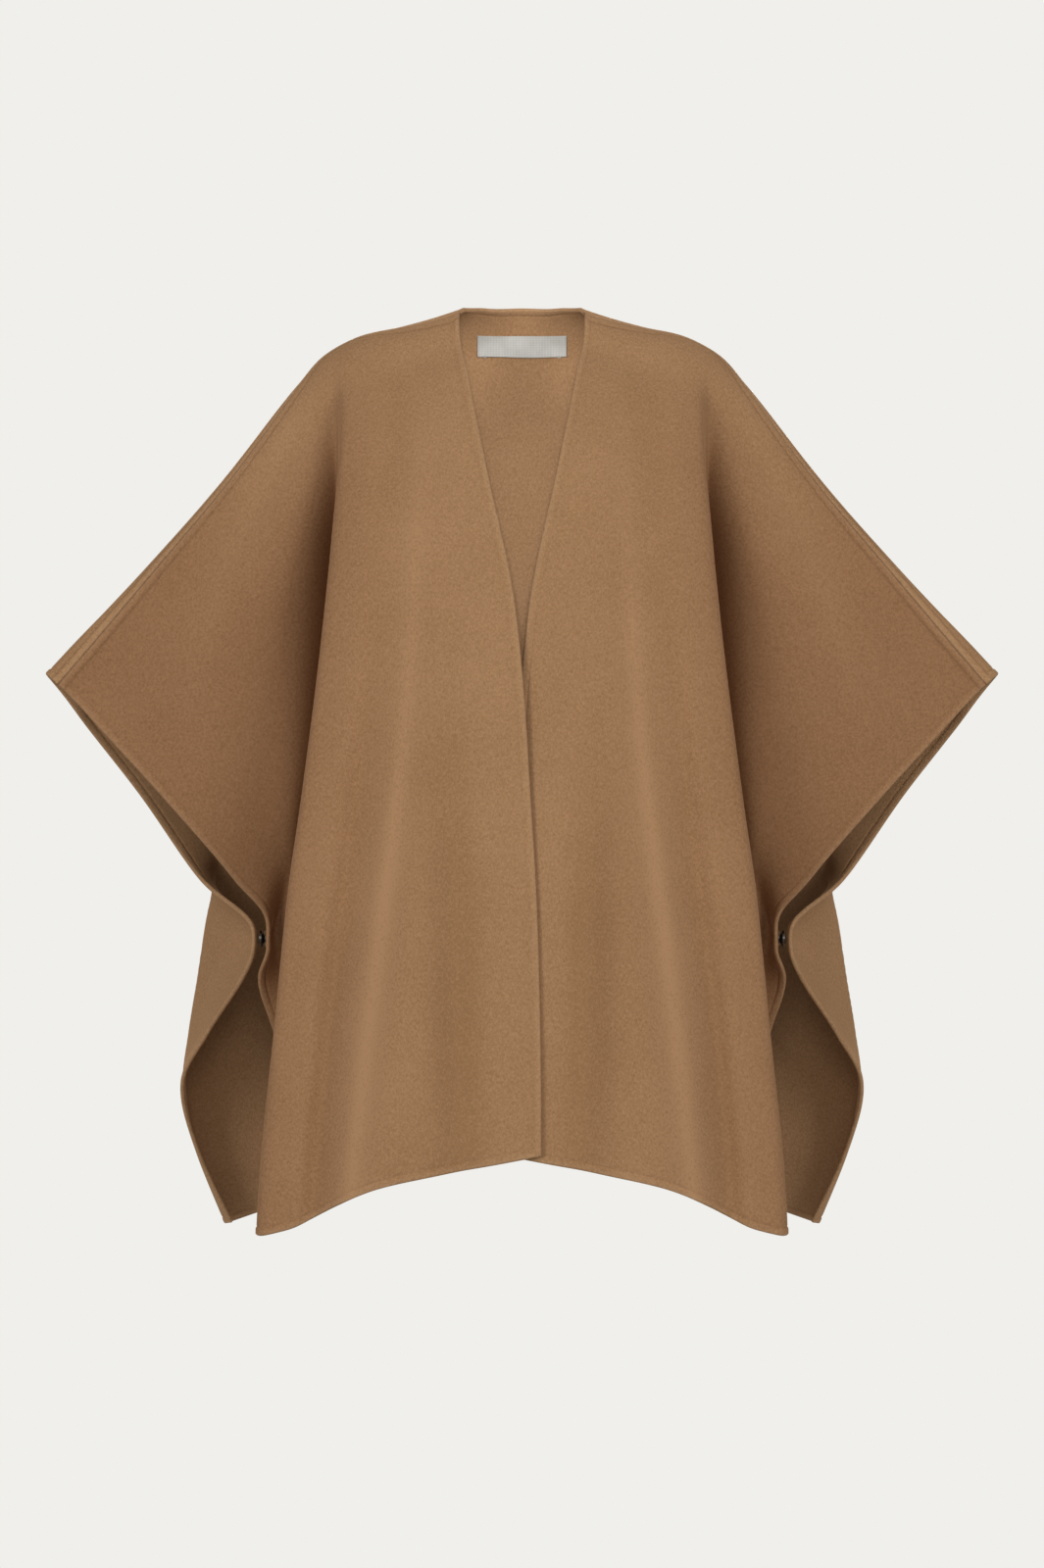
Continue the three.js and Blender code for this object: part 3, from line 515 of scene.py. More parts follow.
def wave_heights(across, down):
    """The low waves of the cloth at distances across and down it: a sum of sines."""
    total = np.zeros_like(across)
    for wave in WAVES:
        turn = 2 * np.pi * (across / wave["across"] + down / wave["down"]) + wave["phase"]
        total += wave["height"] * np.sin(turn)
    return total


# The two kinds of edge: half the thickness that the turned-in cloth adds, how wide it is turned, how
# deep its sewn line sinks, and the radius of the rim.
TURNED = {"extra": 0.55, "width": 7.9, "sunk": 0.45, "rim": 2.1}
FELLED = {"extra": 0.45, "width": 8.6, "sunk": 0.45, "rim": 1.9}
SEWN_LINE = 1.0  # half width of the sunk line
TURN_SLOPE = 2.6  # the turned cloth thins out over this much

# The wool's painted light and shade
SEAM_SHADE_WIDTH = 1.3  # half width of the painted shade along the overarm seam
SEWN_SHADE = 0.3  # how dark the painted shade at the sewn line beside it is, against the seam
# Where shade is painted on a front, darker towards its side: rail numbers, and a share of the drop
SIDE_SHADE = {"from": 0.5, "to": 6.8, "below": 0.2, "sleeve": 9.0, "sleeve_reach": 2.5}
FOLD_SHADING_HEIGHT = 13  # painted light is palest on a soft fold this proud, and painted shade darkest in one this deep


def half_thickness(cloth, from_turned, from_felled):
    """Half the thickness of the wall at distances from its turned edges and from its felled seam.

    The cloth's own half, more over the width that is turned in, less by a bell at the sewn line, times
    the height of a half circle within the rim.
    """
    half = np.full_like(from_turned, cloth / 2)
    for edge, distance in ((TURNED, from_turned), (FELLED, from_felled)):
        half += edge["extra"] * (1 - ease((distance - edge["width"] + TURN_SLOPE) / TURN_SLOPE))
        half -= edge["sunk"] * bump((distance - edge["width"]) / SEWN_LINE)
    for edge, distance in ((TURNED, from_turned), (FELLED, from_felled)):
        inward = np.clip(1 - distance / edge["rim"], 0, 1)
        half *= np.sqrt(1 - inward**2)
    return half


def laid_over(number, share):
    """How much painted shade a front takes towards its side, from 0 to 1.

    It grows with the rail number, and is held back near the top of the shoulder but not on the sleeve.
    """
    across = np.clip((number - SIDE_SHADE["from"]) / (SIDE_SHADE["to"] - SIDE_SHADE["from"]), 0, 1)
    on_sleeve = ease((number - SIDE_SHADE["sleeve"]) / SIDE_SHADE["sleeve_reach"])
    return across * np.maximum(ease(share / SIDE_SHADE["below"]), on_sleeve)


def panel_shell(panel, rows, columns, cloth):
    """A half panel as grids: its outer and inner points, its cut coordinates and where the wool's light
    and shade are painted.

    The waves are held back at the seam and at the side edge, so that the panels meet there.
    """
    share = row_shares(rows)
    number = rail_numbers(panel, share, columns)
    points = middle_surface(panel, share, number)
    across = run_along(points, 1)
    down = run_along(points, 0)
    from_side = across[:, -1:] - across
    from_hem = down[-1:] - down
    normals = grid_normals(points, panel["facing"])
    quiet = ease(down / QUIET["top"]) * ease(from_side / QUIET["side"])
    points = points + normals * (wave_heights(across, down) * quiet)[..., None]
    from_turned = np.minimum(from_side, from_hem)
    if not panel["mirrored"]:
        from_turned = np.minimum(from_turned, across)
    in_neck = panel["mirrored"] & (seam_measure(panel, number) < 0)
    from_turned = np.where(in_neck, np.minimum(from_turned, down), from_turned)
    from_felled = np.where(in_neck, np.inf, down)
    sewn = bump((from_felled - FELLED["width"]) / SEWN_LINE)
    # painted light on the soft folds' ridges and painted shade in their troughs
    standing = fold_heights(panel["soft_folds"], number, share[:, None]) / FOLD_SHADING_HEIGHT
    half = half_thickness(cloth, from_turned, from_felled)[..., None]
    return {
        "outer": points + normals * half,
        "inner": points - normals * half,
        "cut": np.stack([across, down], axis=-1),
        "from_edge": np.minimum(from_turned, from_felled),
        # painted shade, darker towards the side of a front
        "laid_over": panel["side_shade_on"] * laid_over(number, share[:, None]),
        # painted shade in the groove of the overarm seam and along its sunk sewn line
        "in_seam": bump(from_felled / SEAM_SHADE_WIDTH) + SEWN_SHADE * sewn,
        "standing": np.clip(standing, -1, 1),
    }


def mirror_shell(shell):
    """The same shell on the other side of the middle."""
    turned = dict(shell)
    for face in ("outer", "inner"):
        turned[face] = shell[face] * (-1, 1, 1)
    turned["cut"] = shell["cut"] * (-1, 1)
    return turned


def whole_shell(half):
    """The half and its mirror image, joined in the middle column."""
    other = mirror_shell(half)
    return {key: np.concatenate([other[key][:, :0:-1], half[key]], axis=1) for key in half}


def mesh_object(name, vertices, faces, material):
    """A smooth mesh object from vertices in metres and faces as rows of vertex numbers."""
    mesh = bpy.data.meshes.new(name)
    mesh.from_pydata(vertices.tolist(), [], faces)
    mesh.polygons.foreach_set("use_smooth", np.full(len(mesh.polygons), True))
    mesh.materials.append(material)
    mesh.validate()
    obj = bpy.data.objects.new(name, mesh)
    bpy.context.scene.collection.objects.link(obj)
    return obj


def cape_object(name, vertices, faces, material):
    """A piece of the cape, from vertices in millimetres, that rides on its body."""
    obj = mesh_object(name, vertices * MM, faces, material)
    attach(obj, BODY)
    return obj


SHADES = ("from_edge", "laid_over", "standing", "in_seam")  # what the wool's finish reads at each point: the distance from an edge, and the painted light and shade


def shell_object(name, shell, material, turned_over):
    """A closed shell: two grids of points that share their outline.

    It has a UV map of the cut in metres, and the attributes in SHADES that the shell holds.
    """
    rows, columns = shell["outer"].shape[:2]
    outer = np.arange(rows * columns).reshape(rows, columns)
    inner = outer.copy()
    inner[1:-1, 1:-1] = rows * columns + np.arange(inner[1:-1, 1:-1].size).reshape(rows - 2, columns - 2)

    def cells(index):
        return np.stack([index[:-1, :-1], index[1:, :-1], index[1:, 1:], index[:-1, 1:]], axis=-1)

    outer_cells = cells(outer).reshape(-1, 4)
    inner_cells = cells(inner)[..., ::-1].reshape(-1, 4)
    faces = np.vstack([outer_cells, inner_cells])
    if turned_over:
        faces = faces[:, ::-1]
    outline = (shell["outer"] + shell["inner"]) / 2
    points = shell["outer"].copy()
    points[[0, -1]] = outline[[0, -1]]
    points[:, [0, -1]] = outline[:, [0, -1]]
    inside = shell["inner"][1:-1, 1:-1].reshape(-1, 3)
    obj = cape_object(name, np.vstack([points.reshape(-1, 3), inside]), faces.tolist(), material)

    def per_vertex(values):
        flat = values.reshape(rows * columns, -1)
        return np.vstack([flat, values[1:-1, 1:-1].reshape(-1, flat.shape[1])])

    corners = np.empty(len(obj.data.loops), int)
    obj.data.loops.foreach_get("vertex_index", corners)
    cut_map = obj.data.uv_layers.new(name="cut")
    cut_map.data.foreach_set("uv", (per_vertex(shell["cut"]) * MM)[corners].ravel())
    for key in SHADES:
        if key not in shell:
            continue
        values = obj.data.attributes.new(key, "FLOAT", "POINT")
        values.data.foreach_set("value", per_vertex(shell[key]).ravel().astype(np.float32))
    return obj


def node(tree, kind, **settings):
    """A shader node with its settings, and its inputs given as numbers by name."""
    made = tree.nodes.new(kind)
    inputs = settings.pop("inputs", {})
    for name, value in settings.items():
        setattr(made, name, value)
    for name, value in inputs.items():
        made.inputs[name].default_value = value
    return made


def noise(tree, vector, scale, detail, roughness=0.55):
    """A noise texture on the given coordinates; its scale is in features to the metre."""
    made = node(tree, "ShaderNodeTexNoise",
                inputs={"Scale": scale, "Detail": detail, "Roughness": roughness})
    tree.links.new(vector, made.inputs["Vector"])
    return made.outputs["Fac"]


def arithmetic(tree, operation, first, second):
    """first and second, each a socket or a number, put together by the operation."""
    made = node(tree, "ShaderNodeMath", operation=operation)
    for socket, value in zip(made.inputs, (first, second)):
        if isinstance(value, (int, float)):
            socket.default_value = value
        else:
            tree.links.new(value, socket)
    return made.outputs["Value"]


def map_range(tree, value, low, high, new_low, new_high):
    """value carried from one range to another, and held inside it."""
    made = node(tree, "ShaderNodeMapRange", inputs={
        "From Min": low, "From Max": high, "To Min": new_low, "To Max": new_high})
    tree.links.new(value, made.inputs["Value"])
    return made.outputs["Result"]


def attribute(tree, name):
    """The value that the mesh holds under this name."""
    return node(tree, "ShaderNodeAttribute", attribute_name=name).outputs["Fac"]


def object_place(tree):
    """The place on the object, in metres."""
    return tree.nodes.new("ShaderNodeTexCoord").outputs["Object"]


def cut_place(tree):
    """The place on the flat cut, in metres."""
    return node(tree, "ShaderNodeUVMap", uv_map="cut").outputs["UV"]


def add_relief(tree, surface, height, strength, distance):
    """Fine relief on a surface shader, from a height; the distance is in metres."""
    made = node(tree, "ShaderNodeBump", inputs={"Strength": strength, "Distance": distance})
    tree.links.new(height, made.inputs["Height"])
    tree.links.new(made.outputs["Normal"], surface.inputs["Normal"])


def mixed(tree, factor, first, second, blend="MIX"):
    """A colour between two others, or their product, each a socket or a colour."""
    made = node(tree, "ShaderNodeMix", data_type="RGBA", blend_type=blend)
    tree.links.new(factor, made.inputs["Factor"])
    for socket, colour in ((made.inputs[6], first), (made.inputs[7], second)):
        if isinstance(colour, (tuple, list)):
            socket.default_value = (*colour, 1)
        else:
            tree.links.new(colour, socket)
    return made.outputs[2]


def blank_material(name):
    """A material with its tree emptied down to one surface shader and the output."""
    material = bpy.data.materials.new(name)
    material.use_nodes = True
    tree = material.node_tree
    tree.nodes.clear()
    surface = tree.nodes.new("ShaderNodeBsdfPrincipled")
    output = tree.nodes.new("ShaderNodeOutputMaterial")
    tree.links.new(surface.outputs["BSDF"], output.inputs["Surface"])
    return material, tree, surface


def linear(colour):
    """A colour as the render works with it, from the way screens store it."""
    stored = np.array(colour[:3])
    low = stored / 12.92
    high = ((stored + 0.055) / 1.055) ** 2.4
    return tuple(float(x) for x in np.where(stored <= 0.04045, low, high))


# The patterns of the nap: features to the metre, detail and roughness of each noise, the range of it that
# counts, and how far that range swings the tone between the darker and the lighter fibres
NAP = {
    "drift": {"scale": 9, "detail": 2, "roughness": 0.55, "range": (0.3, 0.7), "swing": 0.12},
    "mottle": {"scale": 420, "detail": 3, "roughness": 0.55, "range": (0.25, 0.75), "swing": 0.45},
    "fibres": {"scale": 1100, "detail": 4, "roughness": 0.7, "range": (0.2, 0.8), "swing": 0.65},
}
CURLS = {"scale": 620, "detail": 3, "roughness": 0.7}
FIBRE_LENGTH = (1, 0.28, 1)  # the fibres' pattern is drawn out down the cloth
FOLD_SHADING_TONE = (0.12, 0.96)  # painted shade in the deepest trough and painted light on the proudest ridge
# Edges paler, partly worn and partly a painted highlight: from and to in millimetres inwards, and how the
# mottle makes it uneven
RUBBED_AND_HIGHLIT = {"from": 1.0, "to": 7.0, "most": 0.3, "range": (0.3, 0.7), "uneven": (0.6, 1.2)}
WOOL_RELIEF = {"fibres": 0.6, "curls": 0.4, "strength": 0.5, "distance": 0.0005}


def wool_material(colours):
    """Brushed double-faced wool.

    Its colour drifts slowly over the cloth and mottles in the nap. Painted light makes it paler on the
    ridges of the soft folds, and its edges are paler, partly worn and partly a painted highlight. Painted
    shade makes it darker in the troughs and seams and towards the side of a front. The relief is a fine
    nap that lies down the cloth, and the sheen is that of the fibres that stand up.
    """
    material, tree, surface = blank_material("brushed_wool")
    place = object_place(tree)
    lay = node(tree, "ShaderNodeMapping", inputs={"Scale": FIBRE_LENGTH})
    tree.links.new(cut_place(tree), lay.inputs["Vector"])
    patterns = {}
    # painted light on the ridges of the soft folds and painted shade in their troughs
    tone = map_range(tree, attribute(tree, "standing"), -1, 1, *FOLD_SHADING_TONE)
    for name, nap in NAP.items():
        where = lay.outputs["Vector"] if name == "fibres" else place
        patterns[name] = noise(tree, where, nap["scale"], nap["detail"], nap["roughness"])
        swung = map_range(tree, patterns[name], *nap["range"], -nap["swing"], nap["swing"])
        tone = arithmetic(tree, "ADD", tone, swung)
    wool = mixed(tree, tone, linear(colours.wool_shade), linear(colours.wool_light))
    # painted shade towards the side of a front
    wool = mixed(tree, attribute(tree, "laid_over"), wool, tuple(colours.wool_side_shade), "MULTIPLY")
    # edges paler, partly from wear and partly a painted highlight
    rubbed_and_highlit = map_range(tree, attribute(tree, "from_edge"), RUBBED_AND_HIGHLIT["from"], RUBBED_AND_HIGHLIT["to"], RUBBED_AND_HIGHLIT["most"], 0)
    uneven = map_range(tree, patterns["mottle"], *RUBBED_AND_HIGHLIT["range"], *RUBBED_AND_HIGHLIT["uneven"])
    rubbed_and_highlit = arithmetic(tree, "MULTIPLY", rubbed_and_highlit, uneven)
    wool = mixed(tree, rubbed_and_highlit, wool, linear(colours.wool_edge_and_sheen))
    # painted shade in the seam and at its sewn line
    wool = mixed(tree, attribute(tree, "in_seam"), wool, tuple(colours.wool_seam_shade), "MULTIPLY")
    tree.links.new(wool, surface.inputs["Base Color"])
    surface.inputs["Roughness"].default_value = 0.95
    surface.inputs["Specular IOR Level"].default_value = 0.12
    surface.inputs["Sheen Weight"].default_value = 0.8
    surface.inputs["Sheen Roughness"].default_value = 0.3
    surface.inputs["Sheen Tint"].default_value = (*linear(colours.wool_edge_and_sheen), 1)
    patterns["curls"] = noise(tree, place, CURLS["scale"], CURLS["detail"], CURLS["roughness"])
    height = arithmetic(tree, "ADD", *(
        arithmetic(tree, "MULTIPLY", patterns[name], WOOL_RELIEF[name]) for name in ("fibres", "curls")))
    add_relief(tree, surface, height, WOOL_RELIEF["strength"], WOOL_RELIEF["distance"])
    return material


# The other finishes. A noise is (features to the metre, detail, roughness), and a relief is (strength,
# distance in metres).
TAPE = {"threads": {"X": 110, "Y": 140}, "uneven": 0.6, "share": 0.5, "patches": (60, 2),
        "range": (0.3, 0.7), "relief": (0.35, 0.00015)}
PLATING = {"patches": (260, 3), "scratches": (2400, 2, 0.6), "range": (0.3, 0.7),
           "roughness": (0.22, 0.4), "relief": (0.2, 0.0001)}
TWIST = {"patches": (3200, 2), "plies": (3200, 2), "relief": (0.5, 0.0001)}


def label_material(colours):
    """Plain woven satin tape: fine threads both ways, a soft shine, and a slightly uneven tone."""
    material, tree, surface = blank_material("woven_tape")
    place = cut_place(tree)
    threads = []
    for direction, scale in TAPE["threads"].items():
        wave = node(tree, "ShaderNodeTexWave", bands_direction=direction,
                    inputs={"Scale": scale, "Distortion": TAPE["uneven"], "Detail": 1})
        tree.links.new(place, wave.inputs["Vector"])
        threads.append(arithmetic(tree, "MULTIPLY", wave.outputs["Fac"], TAPE["share"]))
    weave = arithmetic(tree, "ADD", *threads)
    patches = noise(tree, object_place(tree), *TAPE["patches"])
    tone = arithmetic(tree, "ADD", map_range(tree, patches, *TAPE["range"], 0, TAPE["share"]),
                      map_range(tree, weave, 0, 1, 0, TAPE["share"]))
    tape = mixed(tree, tone, linear(colours.label_shade), linear(colours.label_light))
    tree.links.new(tape, surface.inputs["Base Color"])
    surface.inputs["Roughness"].default_value = 0.55
    surface.inputs["Sheen Weight"].default_value = 0.15
    add_relief(tree, surface, weave, *TAPE["relief"])
    return material


def patched_material(name, shade, light, patches, rough):
    """A finish in patches of two colours, and the height of its relief, each from a noise."""
    material, tree, surface = blank_material(name)
    place = object_place(tree)
    colour = mixed(tree, noise(tree, place, *patches), linear(shade), linear(light))
    tree.links.new(colour, surface.inputs["Base Color"])
    return material, tree, surface, noise(tree, place, *rough)


def snap_material(colours):
    """Dark plated metal, with fine scratches and slightly worn places."""
    material, tree, surface, scratches = patched_material(
        "dark_nickel", colours.metal_shade, colours.metal_light, PLATING["patches"], PLATING["scratches"])
    surface.inputs["Metallic"].default_value = 1.0
    roughness = map_range(tree, scratches, *PLATING["range"], *PLATING["roughness"])
    tree.links.new(roughness, surface.inputs["Roughness"])
    add_relief(tree, surface, scratches, *PLATING["relief"])
    return material


def thread_material(colours):
    """Sewing thread, uneven in tone and slightly rough, as its twisted plies make it."""
    material, tree, surface, plies = patched_material(
        "sewing_thread", colours.thread_shade, colours.thread_light, TWIST["patches"], TWIST["plies"])
    surface.inputs["Roughness"].default_value = 0.6
    add_relief(tree, surface, plies, *TWIST["relief"])
    return material


MAKERS = {
    "brushed_wool": wool_material,
    "woven_tape": label_material,
    "dark_nickel": snap_material,
    "sewing_thread": thread_material,
}


def finish_named(name):
    """The material of that name, made the first time it is asked for."""
    found = bpy.data.materials.get(name)
    return found or MAKERS[name](bpy.context.scene.cape_colours)


class CapeSizes(PropertyGroup):
    """The sizes of the cape that a user would change."""

    cloth: FloatProperty(
        name="Cloth thickness", description="Thickness of the double-faced wool, in millimetres",
        default=3.0, min=1.0, max=4.0)
    label_lift: FloatProperty(
        name="Label lift", description="How far the label's foot stands off the cloth, in millimetres",
        default=1.4, min=0.0, max=4.0)


def colour_property(name, description, default):
    """A colour that a user picks, as screens store it, or the share of each channel that is left."""
    return FloatVectorProperty(
        name=name, description=description, subtype="COLOR_GAMMA", size=3, min=0, max=1,
        default=default)


class CapeColours(PropertyGroup):
    """The colours of the cape's finishes."""

    wool_shade: colour_property("Wool, dark fibres", "Darker fibres of the wool", (0.575, 0.435, 0.300))
    wool_light: colour_property("Wool, light fibres", "Lighter fibres of the wool", (0.685, 0.535, 0.395))
    # painted shade: the share of each colour that is left towards the side of a front
    wool_side_shade: colour_property(
        "Wool, painted side shade", "The share of each colour that is left where side shade is painted",
        (0.77, 0.71, 0.69))
    # painted shade: the share of each colour that is left in the overarm seam and at its sewn line
    wool_seam_shade: colour_property(
        "Wool, in a seam", "The share of each colour that is left in the overarm seam",
        (0.34, 0.31, 0.3))
    # the colour of an edge made paler by wear and a painted highlight, and the tint of the sheen
    wool_edge_and_sheen: colour_property("Wool, edge wear and highlight", "Wool where an edge is paler, from wear and a painted highlight", (0.74, 0.60, 0.46))
    label_shade: colour_property("Label, dark threads", "Darker threads of the tape", (0.64, 0.635, 0.61))
    label_light: colour_property("Label, lit threads", "Lighter threads of the tape", (0.77, 0.765, 0.745))
    metal_shade: colour_property("Snap, plated", "The snap's dark plating", (0.26, 0.25, 0.24))
    metal_light: colour_property("Snap, worn", "The snap's worn high places", (0.46, 0.44, 0.42))
    thread_shade: colour_property("Thread, shaded", "Sewing thread between its plies", (0.50, 0.38, 0.27))
    thread_light: colour_property("Thread, lit", "Sewing thread on its plies", (0.70, 0.57, 0.43))


class StageSettings(PropertyGroup):
    """The studio round the cape."""

    ambient: FloatProperty(
        name="Ambient light", description="Strength of the light from all round", default=0.34, min=0)
    sides: FloatProperty(
        name="Side softboxes", description="Power of each large light before a side, in watts",
        default=76.0, min=0, subtype="POWER")
    front: FloatProperty(
        name="Front softbox", description="Power of the large light above the camera, in watts",
        default=34.0, min=0, subtype="POWER")
    back: FloatProperty(
        name="Back softbox", description="Power of the large light behind, in watts",
        default=95.0, min=0, subtype="POWER")
    neck: FloatProperty(
        name="Neck light", description="Power of the narrow light into the neck opening, in watts",
        default=740.0, min=0, subtype="POWER")
    backdrop: colour_property("Backdrop", "The pale floor and backdrop", (0.941, 0.937, 0.922))


def declare_cloth(nodes):
    """Hides the imported parts that the cloth stands in for."""
    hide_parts(*nodes)


class CAPE_OT_front_panels(Operator):
    """Two front panels; the wearer's right one laps over the left one"""

    bl_idname = "cape.front_panels"
    bl_label = "Front panels"

    def execute(self, context):
        cloth = context.scene.cape_sizes.cloth
        rows, columns = FRONT_GRID["rows"], FRONT_GRID["columns"]
        upper = mirror_shell(panel_shell(FRONT, rows, columns, cloth))
        under = panel_shell(UNDER_FRONT, rows, columns, cloth)
        wool = finish_named("brushed_wool")
        right = shell_object("front_right_cloth", upper, wool, True)
        left = shell_object("front_left_cloth", under, wool, False)
        declare_cloth(["front_right"])
        declare_cloth(["front_left"])
        return {"FINISHED"}


class CAPE_OT_back_panel(Operator):
    """The back panel, one piece from side edge to side edge"""

    bl_idname = "cape.back_panel"
    bl_label = "Back panel"

    def execute(self, context):
        cloth = context.scene.cape_sizes.cloth
        half = panel_shell(BACK, BACK_GRID["rows"], BACK_GRID["columns"], cloth)
        obj = shell_object("back_cloth", whole_shell(half), finish_named("brushed_wool"), True)
        declare_cloth(["back"])
        return {"FINISHED"}


# The label, its tacks and how finely it is made
LABEL = {"width": 89.4, "height": 21.2, "thickness": 0.6, "top": -16.1, "gap": 0.3}
LABEL_GRID = {"rows": 40, "columns": 96}
# How the label's foot hangs: a ripple in its stand-off, its loose corners, and a wave up and down
HANG = {"power": 4, "ripple": 0.2, "ripples": 3, "ripple_phase": 0.5, "corners": 0.5, "wave": 0.35,
        "waves": 2.3, "wave_phase": 0.6}
TURN_IN = {"width": 7.0, "extra": 0.12, "slope": 1.2}  # the label's ends are folded under
LABEL_RIM = {"width": 0.7, "least": 0.15}
LINING = {"depth": 90, "rows": 120, "rails": 4}
TACK = {"inset": 7.6, "length": 3.2, "radius": 0.5, "strands": 3, "points": 9, "from": -0.6, "to": 0.4,
        "hump": 0.9, "sunk": 0.4}


def lining_points(out, up):
    """Points of the back's middle surface behind the label, at the given distances out and heights.

    On each fine row the rail numbers come from the distance out, by interpolation, and down each column
    the depth comes from the height in the same way.
    """
    share = np.linspace(0, LINING["depth"] / BACK_CENTRE_LENGTH, LINING["rows"])
    fine = np.linspace(0, LINING["rails"], LINING["rails"] * SAMPLES_PER_RAIL + 1)
    grid = middle_surface(BACK, share, np.broadcast_to(fine, (len(share), len(fine))))
    numbers = np.array([np.interp(np.abs(out[0]), row[:, 0], fine) for row in grid])
    lines = middle_surface(BACK, share, numbers)
    depth = [
        np.interp(-wanted, -line[:, 2], line[:, 1])
        for wanted, line in zip(up.T, lines.transpose(1, 0, 2))
    ]
    return np.stack([out, np.array(depth).T, up], axis=-1)


def label_surface(lift, cloth):
    """The label's middle surface as a grid (down, across), its inward normals and its cut coordinates.

    It lies a small gap off the cloth. Towards its foot it stands off further, as the square of the way
    down: nothing at the two tacks, most between them, with a ripple, and a little at the corners beyond
    them. The foot waves up and down too.
    """
    rows, columns = LABEL_GRID["rows"], LABEL_GRID["columns"]
    across = np.linspace(-LABEL["width"] / 2, LABEL["width"] / 2, columns)
    fall = np.linspace(0, LABEL["height"], rows)
    out, down = np.meshgrid(across, fall)
    tacked = LABEL["width"] / 2 - TACK["inset"]
    way = down / LABEL["height"]
    ripple = HANG["ripple"] * np.cos(HANG["ripples"] * np.pi * out / tacked + HANG["ripple_phase"])
    between = np.clip(1 - (out / tacked) ** HANG["power"], 0, 1) * (1 - HANG["ripple"] + ripple)
    beyond = np.clip((np.abs(out) - tacked) / TACK["inset"], 0, 1)
    loose = lift * way**2 * (between + HANG["corners"] * beyond)
    wave = np.sin(HANG["waves"] * np.pi * out / LABEL["width"] + HANG["wave_phase"])
    points = lining_points(out, LABEL["top"] - down - HANG["wave"] * wave * way)
    inward = -grid_normals(points, 1)
    off = cloth / 2 + LABEL["gap"] + LABEL["thickness"] / 2 + loose
    return points + inward * off[..., None], inward, np.stack([out, down], axis=-1)


class CAPE_OT_label(Operator):
    """The bare woven label inside the back neck, with the two tacks at its foot"""

    bl_idname = "cape.label"
    bl_label = "Label"

    def execute(self, context):
        sizes = context.scene.cape_sizes
        middle, inward, cut = label_surface(sizes.label_lift, sizes.cloth)
        from_end = LABEL["width"] / 2 - np.abs(cut[..., 0])
        from_edge = np.minimum(np.minimum(from_end, cut[..., 1]), LABEL["height"] - cut[..., 1])
        doubled = TURN_IN["extra"] * (1 - ease((from_end - TURN_IN["width"]) / TURN_IN["slope"]))
        rim = ease(from_edge / LABEL_RIM["width"] + LABEL_RIM["least"])
        half = ((LABEL["thickness"] / 2 + doubled) * rim)[..., None]
        shell = {
            "outer": middle - inward * half,
            "inner": middle + inward * half,
            "cut": cut,
        }
        obj = shell_object("label_tape", shell, finish_named("woven_tape"), True)
        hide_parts("label")
        self.tacks(middle, inward)
        return {"FINISHED"}

    def tacks(self, middle, inward):
        """Short bars of thread over the foot of the label, one near each corner."""
        columns = middle.shape[1]
        column = int(round(TACK["inset"] / LABEL["width"] * (columns - 1)))
        paths = []
        for place in (column, columns - 1 - column):
            away = unit(middle[-1, place] - middle[-2, place])
            side = unit(middle[-1, place + 1] - middle[-1, place - 1])
            for strand in range(TACK["strands"]):
                beside = (strand - (TACK["strands"] - 1) / 2) * 2 * TACK["radius"]
                way = np.linspace(TACK["from"], TACK["to"], TACK["points"])[:, None] * TACK["length"]
                hump = np.cos(np.linspace(-QUARTER_TURN, QUARTER_TURN, TACK["points"]))[:, None]
                lifted = inward[-1, place] * (TACK["hump"] * hump - TACK["sunk"])
                paths.append(middle[-1, place] + side * beside + away * way + lifted)
        return tube_object("label_tacks", paths, TACK["radius"], finish_named("woven_tape"))


TUBE_SIDES = 8
TUBE_FIXED = (0.31, 0.22, 0.93)  # no path runs this way
TUBE_END = {"power": 6, "thinner": 0.92}


def tube_object(name, paths, radius, material):
    """Round tubes of one radius along the given paths, in one mesh, each closed by a cap at both ends.

    A ring's two directions are the path's own direction crossed with a fixed one, and that crossed with
    the direction again. The rings shrink towards the ends, so that they round off.
    """
    vertices = []
    faces = []
    angle = np.linspace(0, 2 * np.pi, TUBE_SIDES, endpoint=False)
    for path in paths:
        direction = unit(np.gradient(path, axis=0))
        sideways = unit(np.cross(direction, TUBE_FIXED))
        other = np.cross(direction, sideways)
        along = np.linspace(-1, 1, len(path))
        thickness = radius * np.sqrt(1 - TUBE_END["thinner"] * along ** TUBE_END["power"])
        ring = sideways[:, None] * np.cos(angle)[:, None] + other[:, None] * np.sin(angle)[:, None]
        points = path[:, None] + ring * thickness[:, None, None]
        start = sum(len(part) for part in vertices)
        index = start + np.arange(len(path) * TUBE_SIDES).reshape(len(path), TUBE_SIDES)
        turned = np.roll(index, -1, axis=1)
        sides = np.stack([index[:-1], turned[:-1], turned[1:], index[1:]], axis=-1).reshape(-1, 4)
        faces += sides[:, ::-1].tolist()
        faces += [index[0].tolist(), index[-1][::-1].tolist()]
        vertices.append(points.reshape(-1, 3))
    obj = cape_object(name, np.vstack(vertices), faces, material)
    recalculate_normals(obj)
    return obj


def recalculate_normals(obj):
    """Turns every face of a closed mesh outwards."""
    shape = bmesh.new()
    shape.from_mesh(obj.data)
    bmesh.ops.recalc_face_normals(shape, faces=shape.faces)
    shape.to_mesh(obj.data)
    shape.free()


# A snap's sizes: its discs (the metal is dished to a share of its depth), the stud's post and the gap
SNAP = {"radius": 8, "disc": 1.4, "dish": 0.72, "post": 2.2, "post_share": 0.6, "clearance": 0.35,
        "socket_depth": 0.62}
WELL = SNAP["post"] + SNAP["clearance"]
WELL_FOOT = WELL - 0.3
SNAP_SIDES = 64
RIM = {"roll": 0.45, "points": 9, "inner": 5}
